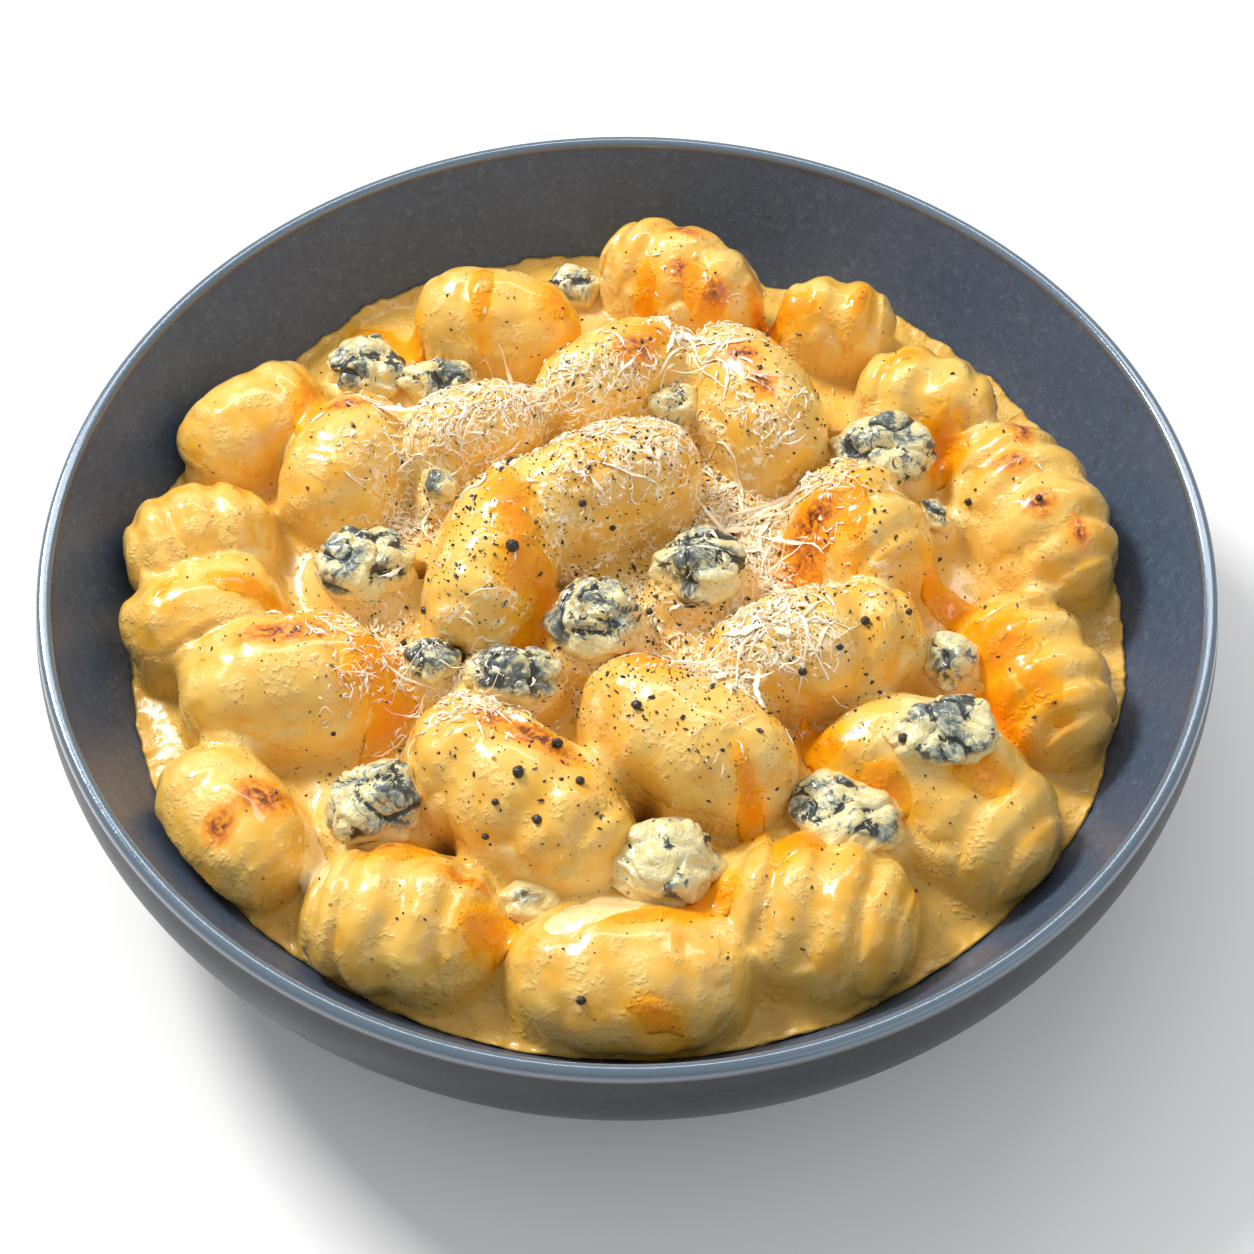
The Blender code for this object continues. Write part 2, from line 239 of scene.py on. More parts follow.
DUMPLINGS = tuple(Dumpling(*row) for row in (
    (-75.5, 9, 20, 27, 22, 21, 5), (-73, -7.5, 22, 28, 21, 20, 0, -1), (-57, -22, 8, 37, 25, 24),
    (-64.5, -48, -52, 30, 21, 20, 0, -1), (-35.5, -66, -12, 33, 26, 24, 6, -1),
    (0.5, -75.5, -3, 38, 25, 23, 0, -1), (30.5, -64, -14, 33, 27, 25, 6, -1),
    (55, -43, -44, 37, 26, 25, 5, -1), (70, -17.5, -66, 33, 23, 23, 6, -1),
    (72.5, 17, -66, 38, 25, 25, 6, 1), (54.5, 41.5, -20, 26, 19, 19, 4), (39, 61, -10, 22, 17, 18, 4),
    (10, 71, -32, 33, 21, 22, 5, 2), (-24.5, 59.5, -15, 32, 20, 21, 0, 1), (-68, 36.5, 42, 29, 21, 21),
    (-50, 25, 68, 30, 22, 23), (-2.5, 43, 32, 31, 20, 23, 0, 2), (22.5, 37.5, -62, 34, 22, 24, 0, 2),
    (-4.5, 17, 22, 36, 21, 23, 0, 2), (-23, 1, 76, 36, 22, 25, 0, 2), (41, 9.5, -58, 28, 22, 24, 4),
    (32, -16.5, 14, 38, 22, 23, 5, 1), (10, -35, -32, 38, 23, 24, 0, 2),
    (-17.5, -44.5, -38, 43, 24, 24, 5, 1), (-27.5, 30, 15, 25, 18, 18),
    (41.5, -34.5, 30, 21, 15, 18, 0, -3),
))


@dataclass(frozen=True)
class Crumble:
    """One lump of blue cheese: its place, its size and how far its middle is above the sauce."""

    x: float
    y: float
    length: float
    width: float
    height: float
    lift: float

    @property
    def centre(self) -> np.ndarray:
        """Middle of the lump."""
        return np.array((self.x, self.y, HEAP.sauce_level(math.hypot(self.x, self.y)) + self.lift))


CRUMBLES = tuple(Crumble(*row) for row in (
    (-48.5, 49.5, 14, 12, 10, 5), (-34.5, 45.5, 13, 9, 9, 4), (-10.5, 74, 10, 9, 9, 2),
    (7.5, 36.5, 9, 8, 9, 6), (-33, 19, 6, 6, 6, 5), (45, 27, 17, 12, 12, 6), (54, 14.5, 6, 6, 6, 4),
    (-45.5, 2, 16, 12, 11, 5), (13, -1.5, 15, 12, 11, 7), (-5, -13, 15, 14, 12, 8),
    (-19.5, -23.5, 15, 9, 9, 7), (-33, -19.5, 9, 8, 8, 5), (55, -17.5, 8, 9, 9, 5),
    (51, -37, 17, 13, 9, 15), (-41, -46, 15, 13, 12, 5), (6.5, -58, 18, 13, 12, 6),
    (36, -48, 17, 15, 9, 5), (-16, -63, 11, 7, 6, 3),
))


@dataclass(frozen=True)
class Patch:
    """A melted patch or a browned spot, seen from above: a warped oval."""

    x: float
    y: float
    length: float
    width: float
    yaw: float = 0.0
    strength: float = 1.0

    def mask(self, x: np.ndarray, y: np.ndarray, wobble: np.ndarray) -> np.ndarray:
        """How far inside the oval each place is: 1 in the middle, 0 on the edge, negative outside."""
        turn = math.radians(self.yaw)
        along = (x - self.x) * math.cos(turn) + (y - self.y) * math.sin(turn)
        over = (y - self.y) * math.cos(turn) - (x - self.x) * math.sin(turn)
        return 1.0 - np.hypot(along / (self.length / 2), over / (self.width / 2)) + wobble


def patches(*rows: tuple[float, ...]) -> tuple[Patch, ...]:
    """One patch for each row of its values."""
    return tuple(Patch(*row) for row in rows)


DRIFTS = patches(
    (-30, 27, 24, 18, 0, 1.3), (-10, 33, 26, 18, 10, 1.3), (-12, 28, 14, 10, 0, 0.8),
    (8, 31, 18, 12, 0, 0.8), (3, 16, 30, 12, 20, 0.8), (21, 15, 26, 16, -20, 1.7),
    (29, -3, 16, 14, -30, 0.9), (17, -9, 26, 12, 0, 0.9), (20, -22, 24, 12, 10, 1.5),
    (-43, -16, 16, 16, 0, 1), (-31, -22, 18, 9, 0, 0.9), (-24, -32, 14, 7, 0, 0.6),
    (14, 52, 20, 14, -20, 0.7), (-39, 16, 14, 14, 0, 0.9), (-5, -8, 20, 12, 0, 0.3),
    (-42, -28, 10, 9, 0, 0.4), (0, 5, 100, 80, 0, 0.5), (23, 27, 18, 12, 0, 0.6),
)

RIBBON_DRIFTS = patches(
    (19, 10, 14, 12, 0, 1.6), (26, 0, 12, 10), (-20, 33, 18, 10), (-36, -16, 14, 8, 0, 0.7),
    (22, -20, 12, 8, 0, 0.5), (14, 44, 12, 10, 0, 0.6),
)


class NodeSheet:
    """Short calls for building a shader's node tree. Sockets are named by their label or their number."""

    def __init__(self, tree: NodeTree) -> None:
        """Start on a node tree."""
        self.tree = tree

    def node(self, kind: str, feed: dict[object, object], **settings: object) -> bpy.types.Node:
        """Add a node, set its properties and feed its sockets."""
        made = self.tree.nodes.new(kind)
        for name, value in settings.items():
            setattr(made, name, value)
        for socket, value in feed.items():
            self.put(made.inputs[socket], value)
        return made

    def put(self, socket: Socket, value: object) -> None:
        """Link a socket to another node's output, or set its value."""
        if isinstance(value, Socket):
            self.tree.links.new(value, socket)
        elif isinstance(value, tuple) and socket.type == "RGBA":
            socket.default_value = (*value, 1.0)
        else:
            socket.default_value = value

    def math(self, operation: str, a: object, b: object = 0.0) -> Socket:
        """Work out a value from two others."""
        return self.node("ShaderNodeMath", {0: a, 1: b}, operation=operation).outputs[0]

    def plus(self, a: object, b: object) -> Socket:
        """Add two values."""
        return self.math("ADD", a, b)

    def minus(self, a: object, b: object) -> Socket:
        """Take one value from another."""
        return self.math("SUBTRACT", a, b)

    def times(self, a: object, b: object) -> Socket:
        """Multiply two values."""
        return self.math("MULTIPLY", a, b)

    def sway(self, value: Socket, amount: float) -> Socket:
        """How far a noise is from its middle, times an amount."""
        return self.times(self.minus(value, 0.5), amount)

    def mix(self, share: object, a: object, b: object) -> Socket:
        """Blend two colours."""
        return self.node("ShaderNodeMix", {0: share, 6: a, 7: b}, data_type="RGBA").outputs[2]

    def layers(self, tone: object, *coats: tuple[object, object]) -> object:
        """Lay colours over a tone, each by its share."""
        for share, colour in coats:
            tone = self.mix(share, tone, colour)
        return tone

    def ramp(self, value: object, low: float, high: float, start: float = 0.0, end: float = 1.0) -> Socket:
        """Map a range of values smoothly to another."""
        feed = dict(enumerate((value, low, high, start, end)))
        made = self.node("ShaderNodeMapRange", feed, interpolation_type="SMOOTHSTEP", clamp=True)
        return made.outputs[0]

    def noise(self, place: object, scale: object, detail: float = 2.0, roughness: float = 0.5,
              distortion: float = 0.0) -> Socket:
        """Noise from 0 to 1 at a scale in lumps for each metre."""
        feed = {"Vector": place, "Scale": scale, "Detail": detail, "Roughness": roughness,
                "Distortion": distortion}
        return self.node("ShaderNodeTexNoise", feed).outputs[0]

    def cells(self, place: object, scale: float, feature: str = "F1") -> bpy.types.Node:
        """Scattered points, each with a distance and a colour of its own."""
        return self.node("ShaderNodeTexVoronoi", {"Vector": place, "Scale": scale}, feature=feature)

    def bend(self, place: object, scale: float, amount: float) -> Socket:
        """Coordinates pushed about by noise, by up to an amount in metres."""
        push = self.node("ShaderNodeTexNoise", {"Vector": place, "Scale": scale, "Detail": 0.0})
        feed = {0: push.outputs["Color"], 1: (amount, amount, amount), 2: place}
        return self.node("ShaderNodeVectorMath", feed, operation="MULTIPLY_ADD").outputs[0]

    def place(self) -> Socket:
        """Object coordinates."""
        return self.node("ShaderNodeTexCoord", {}).outputs["Object"]

    def attribute(self, name: str) -> Socket:
        """A value painted on the mesh."""
        return self.node("ShaderNodeAttribute", {}, attribute_name=name).outputs["Fac"]

    def bump(self, height: object, distance: float, strength: float) -> Socket:
        """A normal bent by a height, whose distance is in metres."""
        feed = {"Height": height, "Distance": distance, "Strength": strength}
        return self.node("ShaderNodeBump", feed).outputs["Normal"]


class SharedEffects:
    """Node groups that several finishes use."""

    speckle_scale = 800.0
    speck_scale = 430.0
    broad_scale = 85.0
    web_scale = 560.0
    bend_scale = 330.0
    web_bend = 0.004
    broken_scale = 640.0
    golden = (0.90, 0.33, 0.012)
    brown = (0.62, 0.18, 0.010)
    burnt = (0.22, 0.05, 0.008)
    rust_herb = (0.20, 0.075, 0.018)
    green_herb = (0.13, 0.09, 0.02)
    dough = (0.88, 0.54, 0.10)
    deep_dough = (0.84, 0.42, 0.03)
    pale_dough = (0.90, 0.64, 0.22)
    sauce = (0.85, 0.54, 0.13)
    pale_sauce = (0.89, 0.64, 0.22)
    cream = (0.92, 0.71, 0.34)
    # painted shade colour: a deeper golden for the hollows
    hollow = (0.74, 0.41, 0.05)
    stain = (0.92, 0.43, 0.006)
    # painted shade colour for the bottoms of the deep pits in the sauce
    pit_shade = (0.20, 0.065, 0.008)

    def __init__(self) -> None:
        """Build each group once."""
        self.wet_relief = self._wet_relief()
        self.toasting = self._toasting()
        self.dusting = self._dusting()
        self.heap_tone = self._heap_tone()
        self.lace = self._lace()

    @staticmethod
    def _group(
        name: str, inputs: dict[str, str], outputs: dict[str, str]
    ) -> tuple[NodeTree, NodeSheet, bpy.types.Node, bpy.types.Node]:
        """Start a group with named sockets.

        Args:
            name: The group's name.
            inputs: Socket type for each input's name.
            outputs: Socket type for each output's name.

        Returns:
            The tree, its sheet, its input node and its output node.
        """
        tree = bpy.data.node_groups.new(name, "ShaderNodeTree")
        for label, kind in inputs.items():
            tree.interface.new_socket(name=label, in_out="INPUT", socket_type=kind)
        for label, kind in outputs.items():
            tree.interface.new_socket(name=label, in_out="OUTPUT", socket_type=kind)
        return tree, NodeSheet(tree), tree.nodes.new("NodeGroupInput"), tree.nodes.new("NodeGroupOutput")

    def _wet_relief(self) -> NodeTree:
        """Soft lumps, with small wrinkles that gather in patches, as on sauce that has begun to set."""
        tree, sheet, start, end = self._group(
            "wet_relief",
            {"Place": VECTOR, "Lumps": VALUE, "Fine": VALUE},
            {"Height": VALUE, "Mottle": VALUE},
        )
        place = start.outputs["Place"]
        lumps = sheet.noise(place, start.outputs["Lumps"], 1.0, 0.4)
        grain = sheet.noise(place, start.outputs["Fine"], 1.0, 0.6)
        beads = sheet.ramp(grain, 0.52, 0.68, 0.0, 0.35)
        wrinkles = sheet.plus(sheet.times(grain, 0.9), beads)
        patches = sheet.ramp(lumps, 0.45, 0.62, 0.05, 0.38)
        crinkled = sheet.times(wrinkles, patches)
        sheet.put(end.inputs["Height"], sheet.plus(sheet.times(lumps, 0.5), crinkled))
        sheet.put(end.inputs["Mottle"], sheet.ramp(lumps, 0.35, 0.68))
        return tree

    def _toasting(self) -> NodeTree:
        """Turns a colour golden, then red-brown, then dark where a mask says that it was browned."""
        tree, sheet, start, end = self._group(
            "toasting",
            {"Colour": COLOUR, "Browning": VALUE, "Place": VECTOR},
            {"Colour": COLOUR},
        )
        speckle = sheet.noise(start.outputs["Place"], self.speckle_scale, 1.0, 0.65)
        mask = sheet.times(start.outputs["Browning"], sheet.ramp(speckle, 0.3, 0.62, 0.5, 1.2))
        coats = ((0.02, 0.5, self.golden), (0.5, 0.95, self.brown), (1.05, 1.35, self.burnt))
        tone = start.outputs["Colour"]
        for low, high, colour in coats:
            tone = sheet.mix(sheet.ramp(mask, low, high), tone, colour)
        sheet.put(end.inputs["Colour"], tone)
        return tree

    def _dusting(self) -> NodeTree:
        """Fine specks of herb and pepper dust sunk in the surface."""
        tree, sheet, start, end = self._group(
            "dusting",
            {"Colour": COLOUR, "Place": VECTOR, "Amount": VALUE},
            {"Colour": COLOUR},
        )
        cells = sheet.cells(start.outputs["Place"], self.speck_scale)
        pick = sheet.node("ShaderNodeSeparateColor", {0: cells.outputs["Color"]})
        chance = sheet.times(start.outputs["Amount"], 0.4)
        chosen = sheet.math("LESS_THAN", pick.outputs[0], chance)
        size = sheet.times(pick.outputs[1], 0.1)
        spot = sheet.math("LESS_THAN", cells.outputs["Distance"], sheet.plus(size, 0.05))
        mask = sheet.times(sheet.times(spot, chosen), 0.72)
        herb = sheet.mix(sheet.ramp(pick.outputs[2], 0.3, 0.7), self.rust_herb, self.green_herb)
        sheet.put(end.inputs["Colour"], sheet.mix(mask, start.outputs["Colour"], herb))
        return tree

    def _heap_tone(self) -> NodeTree:
        """Colour of the heap's skin: dough that goes over into sauce where the film is thick, with painted
        shade in its hollows and pits.
        """
        values = ("Film", "Hollow", "Stain", "Browning", "Pit_Shade", "Cream")
        tree, sheet, start, end = self._group(
            "heap_tone",
            {"Place": VECTOR, **dict.fromkeys(("Mottle", *values), VALUE)},
            {"Colour": COLOUR},
        )
        place = start.outputs["Place"]
        film, hollow, stain, browning, pit_shade, cream = [start.outputs[name] for name in values]
        broad = sheet.noise(place, self.broad_scale, 2.0, 0.6)
        dough = sheet.mix(sheet.ramp(broad, 0.34, 0.66), self.dough, self.deep_dough)
        dough = sheet.mix(sheet.times(start.outputs["Mottle"], 0.45), dough, self.pale_dough)
        sauce = sheet.mix(sheet.ramp(broad, 0.3, 0.6), self.sauce, self.pale_sauce)
        ragged = sheet.plus(film, sheet.sway(broad, 0.9))
        tone = sheet.layers(
            sheet.mix(sheet.ramp(ragged, 0.15, 1.0), dough, sauce),
            (cream, self.cream),
            # painted shade: a deeper golden in the hollows
            (sheet.times(hollow, 0.8), self.hollow),
            (sheet.times(stain, 0.85), self.stain),
            # painted shade: near black brown deep in the pits
            (pit_shade, self.pit_shade),
        )
        feed = {"Colour": tone, "Browning": browning, "Place": place}
        toasted = sheet.node("ShaderNodeGroup", feed, node_tree=self.toasting)
        sheet.put(end.inputs["Colour"], toasted.outputs["Colour"])
        return tree

    def _lace(self) -> NodeTree:
        """A broken web of fine threads, where grated cheese has begun to melt into what it lies on."""
        tree, sheet, start, end = self._group(
            "lace",
            {"Place": VECTOR, "Amount": VALUE, "Mottle": VALUE},
            {"Mask": VALUE},
        )
        place = start.outputs["Place"]
        bent = sheet.bend(place, self.bend_scale, self.web_bend)
        edges = sheet.cells(bent, self.web_scale, "DISTANCE_TO_EDGE").outputs["Distance"]
        web = sheet.ramp(edges, 0.05, 0.12, 1.0, 0.0)
        broken = sheet.ramp(sheet.noise(place, self.broken_scale, 0.0), 0.36, 0.52)
        threads = sheet.times(web, broken)
        uneven = sheet.minus(start.outputs["Mottle"], 0.5)
        drift = sheet.plus(start.outputs["Amount"], sheet.times(uneven, 0.6))
        sheet.put(end.inputs["Mask"], sheet.times(threads, sheet.ramp(drift, 0.28, 0.7)))
        return tree


@dataclass(frozen=True)
class Gloss:
    """How a surface reflects, set on the shader's own sockets."""

    roughness: float
    coat: float = 0.0
    coat_roughness: float = 0.1
    specular: float = 0.5


class Finish:
    """A material on one Principled shader."""

    name = "finish"
    gloss = Gloss(0.5)

    def __init__(self, effects: SharedEffects) -> None:
        """Build the material.

        Args:
            effects: The node groups that finishes share.
        """
        self.effects = effects
        self.material = bpy.data.materials.new(self.name)
        self.material.use_nodes = True
        self.sheet = NodeSheet(self.material.node_tree)
        self.shader = self.material.node_tree.nodes["Principled BSDF"]
        settings = {
            "Roughness": self.gloss.roughness,
            "Coat Weight": self.gloss.coat,
            "Coat Roughness": self.gloss.coat_roughness,
            "Specular IOR Level": self.gloss.specular,
        }
        for socket, value in settings.items():
            self.shader.inputs[socket].default_value = value
        self.dress()

    def dress(self) -> None:
        """Build the nodes that change over the surface."""

    def group(self, tree: NodeTree, **values: object) -> bpy.types.Node:
        """Place a shared group with its values."""
        return self.sheet.node("ShaderNodeGroup", values, node_tree=tree)

    def shade(self, **values: object) -> None:
        """Feed the shader's sockets."""
        for name, value in values.items():
            self.sheet.put(self.shader.inputs[name.replace("_", " ")], value)


class HeapFinish(Finish):
    """Skin of the heap, for dough and sauce alike, so that one goes over into the other."""

    lumps = 240.0
    fine = 1000.0
    bump_depth = 0.0007
    smoothest = 0.3
    dullest = 0.42
    dust = 0.5
    hollow_coat = 0.5
    shreds = (1.0, 0.90, 0.66)

    def dress(self) -> None:
        """Colour by the heap's map, with melted shreds and dust on it, and a soft wet relief."""
        sheet, place = self.sheet, self.sheet.place()
        relief = self.group(self.effects.wet_relief, Place=place, Lumps=self.lumps, Fine=self.fine)
        mottle = relief.outputs["Mottle"]
        fields = ("film", "hollow", "stain", "browning", "pit_shade", "cream")
        painted = {name.title(): sheet.attribute(name) for name in fields}
        tone = self.group(self.effects.heap_tone, Place=place, Mottle=mottle, **painted)
        lace = self.group(self.effects.lace, Place=place, Amount=sheet.attribute("grated"), Mottle=mottle)
        lace = lace.outputs["Mask"]
        laced = sheet.mix(sheet.times(lace, 0.9), tone.outputs["Colour"], self.shreds)
        dusted = self.group(self.effects.dusting, Colour=laced, Place=place, Amount=self.dust)
        self.shade(
            Base_Color=dusted.outputs["Colour"],
            Roughness=sheet.ramp(mottle, 0.0, 1.0, self.smoothest, self.dullest),
            Coat_Weight=sheet.ramp(painted["Hollow"], 0.0, 1.0, self.gloss.coat, self.hollow_coat),
            Normal=sheet.bump(relief.outputs["Height"], self.bump_depth, 0.8),
        )


class DoughFinish(HeapFinish):
    """Soft potato dough, wet with sauce, with a deeper golden painted shade in its hollows and browned in
    spots.
    """

    name = "gnocchi_dough"
    gloss = Gloss(0.4, coat=0.8, coat_roughness=0.06, specular=0.4)


class SauceFinish(HeapFinish):
    """Thick glossy cheese sauce, cream where it is deep, with a deeper golden painted shade in the hollows.
    """

    name = "cheese_sauce"
    gloss = Gloss(0.35, coat=0.8, coat_roughness=0.06, specular=0.4)
    lumps = 260.0
    bump_depth = 0.0008
    smoothest = 0.28
    dullest = 0.38
    dust = 0.8
    hollow_coat = 0.2


class CheddarFinish(Finish):
    """Melted cheddar: clear orange, deeper where it is thick, glossy and a little blistered."""

    name = "melted_cheddar"
    gloss = Gloss(0.35, coat=0.45, coat_roughness=0.05, specular=0.25)
    lumps = 300.0
    fine = 1300.0
    bump_depth = 0.0009
    deep = (0.88, 0.28, 0.0)
    light = (0.90, 0.37, 0.001)
    dust = 0.4

    def dress(self) -> None:
        """Colour by thickness and browning."""
        sheet, place = self.sheet, self.sheet.place()
        relief = self.group(self.effects.wet_relief, Place=place, Lumps=self.lumps, Fine=self.fine)
        tone = sheet.mix(sheet.ramp(sheet.attribute("thick"), 0.1, 0.8), self.light, self.deep)
        tone = sheet.mix(sheet.times(relief.outputs["Mottle"], 0.3), tone, self.light)
        browning = sheet.attribute("browning")
        toasted = self.group(self.effects.toasting, Colour=tone, Browning=browning, Place=place)
        toasted = toasted.outputs["Colour"]
        dusted = self.group(self.effects.dusting, Colour=toasted, Place=place, Amount=self.dust)
        self.shade(
            Base_Color=dusted.outputs["Colour"],
            Roughness=sheet.ramp(relief.outputs["Mottle"], 0.0, 1.0, 0.3, 0.4),
            Normal=sheet.bump(relief.outputs["Height"], self.bump_depth, 0.8),
        )


class BlueCheeseFinish(Finish):
    """Soft cream cheese with blue-green mould in clouds and dark cracks."""

    name = "blue_cheese"
    gloss = Gloss(0.4, coat=0.75, coat_roughness=0.08)
    cloud_scale = 125.0
    fine_scale = 520.0
    grain_scale = 1200.0
    bump_depth = 0.0005
    cream = (0.76, 0.64, 0.27)
    white = (0.82, 0.75, 0.45)
    grey = (0.38, 0.41, 0.31)
    sauce = (0.88, 0.66, 0.24)
    slate = (0.105, 0.135, 0.130)
    black = (0.022, 0.030, 0.027)
    dust = 0.5

    def dress(self) -> None:
        """Colour by clouds of mould, with the dark in the cracks."""
        sheet, place = self.sheet, self.sheet.place()
        clouds = sheet.noise(place, self.cloud_scale, 3.0, 0.55, 0.9)
        fine = sheet.noise(place, self.fine_scale, 3.0, 0.65, 1.8)
        crack = sheet.attribute("crack")
        tone = sheet.mix(sheet.ramp(fine, 0.35, 0.65), self.cream, self.white)
        mould = sheet.plus(clouds, sheet.sway(fine, 0.6))
        mould = sheet.plus(mould, sheet.times(crack, 0.05))
        streaks = sheet.times(crack, sheet.ramp(mould, 0.48, 0.6))
        foot = sheet.plus(sheet.attribute("sunk"), sheet.sway(fine, 0.8))
        tone = sheet.layers(
            tone,
            (sheet.ramp(mould, 0.49, 0.58), self.grey),
            (sheet.ramp(mould, 0.56, 0.68), self.slate),
            (sheet.ramp(streaks, 0.3, 0.8), self.black),
            (sheet.ramp(foot, 0.15, 0.75, 0.0, 0.95), self.sauce),
        )
        grain = sheet.noise(place, self.grain_scale, 1.0, 0.6)
        height = sheet.plus(fine, sheet.times(grain, 0.3))
        dusted = self.group(self.effects.dusting, Colour=tone, Place=place, Amount=self.dust)
        self.shade(
            Base_Color=dusted.outputs["Colour"],
            Roughness=sheet.ramp(mould, 0.4, 0.65, 0.26, 0.5),
            Normal=sheet.bump(height, self.bump_depth, 0.7),
        )


class GratedFinish(Finish):
    """Fine shreds of pale hard cheese, a little clear at their edges."""

    name = "grated_cheese"
    gloss = Gloss(0.5, coat=0.15, coat_roughness=0.3)
    change_scale = 240.0
    pale = (1.0, 0.93, 0.78)
    warm = (1.0, 0.86, 0.62)

    def dress(self) -> None:
        """Colour by slow changes from shred to shred."""
        sheet, place = self.sheet, self.sheet.place()
        change = sheet.noise(place, self.change_scale, 2.0, 0.6)
        tone = sheet.mix(sheet.ramp(change, 0.35, 0.65), self.pale, self.warm)
        self.shade(Base_Color=tone, Roughness=sheet.ramp(change, 0.3, 0.7, 0.4, 0.55))


class PepperFinish(Finish):
    """Cracked black pepper: near black skins with brown broken faces."""

    name = "black_pepper"
    gloss = Gloss(0.45, coat=0.3, coat_roughness=0.2)
    change_scale = 700.0
    grain_scale = 1900.0
    bump_depth = 0.0003
    skin = (0.012, 0.010, 0.009)
    broken = (0.085, 0.04, 0.018)

    def dress(self) -> None:
        """Colour by a fine change from black to brown."""
        sheet, place = self.sheet, self.sheet.place()
        change = sheet.noise(place, self.change_scale, 3.0, 0.6)
        tone = sheet.mix(sheet.ramp(change, 0.45, 0.75), self.skin, self.broken)
        self.shade(
            Base_Color=tone,
            Roughness=sheet.ramp(change, 0.3, 0.7, 0.3, 0.6),
            Normal=sheet.bump(sheet.noise(place, self.grain_scale, 3.0), self.bump_depth, 0.8),
        )


class GlazeFinish(Finish):
    """Slate-blue satin glaze with fine mottling, a glossy paler lip and brown lines on its edges."""

    name = "slate_glaze"
    gloss = Gloss(0.42, coat=0.35, coat_roughness=0.1)
    cloud_scale = 45.0
    fleck_scale = 620.0
    bump_depth = 0.0001
    inner = (0.052, 0.083, 0.142)
    outer = (0.010, 0.016, 0.022)
    lip = (0.13, 0.18, 0.235)
    breaking = (0.16, 0.12, 0.09)
    line = (0.012, 0.016, 0.024)
    warm = (0.075, 0.08, 0.085)
    pale = (0.14, 0.18, 0.24)
    dark = (0.045, 0.05, 0.06)
    lip_shine = 0.35
    lip_start = (0.0981, 0.0985)
    inner_edge = 0.0451
    outer_edge = 0.0444
    line_drop = 0.0007

    def dress(self) -> None:
        """Colour by side, height and mottling."""
        sheet, place = self.sheet, self.sheet.place()
        cloud = sheet.noise(place, self.cloud_scale, 3.0, 0.6)
        flecks = sheet.noise(place, self.fleck_scale, 2.0, 0.6, 1.4)
        side = sheet.attribute("outside")
        lip, brown, dark_line = self._bands(place, cloud)
        tone = sheet.mix(side, self.inner, self.outer)
        lighter = sheet.mix(0.5, tone, self.pale)
        shown = sheet.minus(1.0, sheet.times(side, 0.75))
        warm = sheet.mix(sheet.times(shown, sheet.ramp(cloud, 0.5, 0.7, 0.0, 0.2)), tone, self.warm)
        tone = sheet.mix(sheet.times(shown, sheet.ramp(flecks, 0.5, 0.72, 0.0, 0.75)), warm, lighter)
        dark = sheet.times(shown, sheet.ramp(flecks, 0.28, 0.45, 0.6, 0.0))
        tone = sheet.layers(
            tone, (dark, self.dark), (lip, self.lip), (brown, self.breaking), (dark_line, self.line)
        )
        rough = sheet.minus(sheet.ramp(cloud, 0.3, 0.7, 0.42, 0.5), sheet.times(lip, 0.28))
        self.shade(
            Base_Color=tone,
            Roughness=rough,
            Metallic=sheet.times(lip, self.lip_shine),
            Coat_Weight=sheet.plus(sheet.times(lip, 0.7), 0.12),
            Normal=sheet.bump(flecks, self.bump_depth, 0.4),
        )

    def _bands(self, place: Socket, cloud: Socket) -> tuple[Socket, Socket, Socket]:
        """Masks of the lip, of the brown lines along it and of the dark line under it.

        Args:
            place: Object coordinates.
            cloud: Broad noise that makes the lines waver.

        Returns:
            The three masks.
        """
        sheet = self.sheet
        x, y, z = sheet.node("ShaderNodeSeparateXYZ", {0: place}).outputs
        radius = sheet.math("SQRT", sheet.plus(sheet.times(x, x), sheet.times(y, y)))
        outer = sheet.ramp(radius, *self.lip_start)
        edge = sheet.ramp(outer, 0.0, 1.0, self.inner_edge, self.outer_edge)
        waver = sheet.sway(cloud, 0.0003)
        above = sheet.plus(sheet.minus(z, edge), waver)
        lip = sheet.ramp(above, -0.00012, 0.00012)
        brown = sheet.ramp(sheet.math("ABSOLUTE", above), 0.0001, 0.0004, 0.65, 0.0)
        under = sheet.math("ABSOLUTE", sheet.plus(above, self.line_drop))
        dark = sheet.times(outer, sheet.ramp(under, 0.0001, 0.0005, 0.8, 0.0))
        return lip, brown, dark


class FloorFinish(Finish):
    """Plain pale floor."""

    name = "pale_floor"
    gloss = Gloss(0.7)
    grey = (0.90, 0.90, 0.90)
    white = (0.93, 0.93, 0.93)

    def dress(self) -> None:
        """A hardly visible change of tone."""
        sheet, place = self.sheet, self.sheet.place()
        change = sheet.noise(place, 3.0, 2.0)
        self.shade(Base_Color=sheet.mix(change, self.grey, self.white))


def add_object(name: str, data: bpy.types.ID) -> bpy.types.Object:
    """Make an object of some data and link it to the scene."""
    made = bpy.data.objects.new(name, data)
    bpy.context.scene.collection.objects.link(made)
    return made


class Workshop:
    """Puts finished meshes into the scene as pieces that ride on the bowl's body."""

    def __init__(self) -> None:
        """Keep count of what is made."""
        self.triangles = 0

    def add(self, name: str, mesh: Mesh, finish: Finish, slot: Slot,
            replaces: Sequence[str] = (), smooth: bool = True) -> None:
        """Add a piece.

        Args:
            name: Name of the piece.
            mesh: Its mesh, in place.
            finish: Its material.
            slot: Not used.
            replaces: Solids that it stands for.
            smooth: Whether its faces blend into each other.
        """
        mesh.materials.clear()
        mesh.materials.append(finish.material)
        if smooth:
            mesh.shade_smooth()
        piece = add_object(name, mesh)
        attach(piece, BODY)
        if replaces:
            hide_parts(*replaces)
        mesh.calc_loop_triangles()
        self.triangles += len(mesh.loop_triangles)
        LOG.info("%s: %d triangles", name, len(mesh.loop_triangles))


def mesh_from(name: str, shape: BMesh) -> Mesh:
    """Turn a finished bmesh into a mesh and free it."""
    mesh = bpy.data.meshes.new(name)
    shape.to_mesh(mesh)
    shape.free()
    return mesh


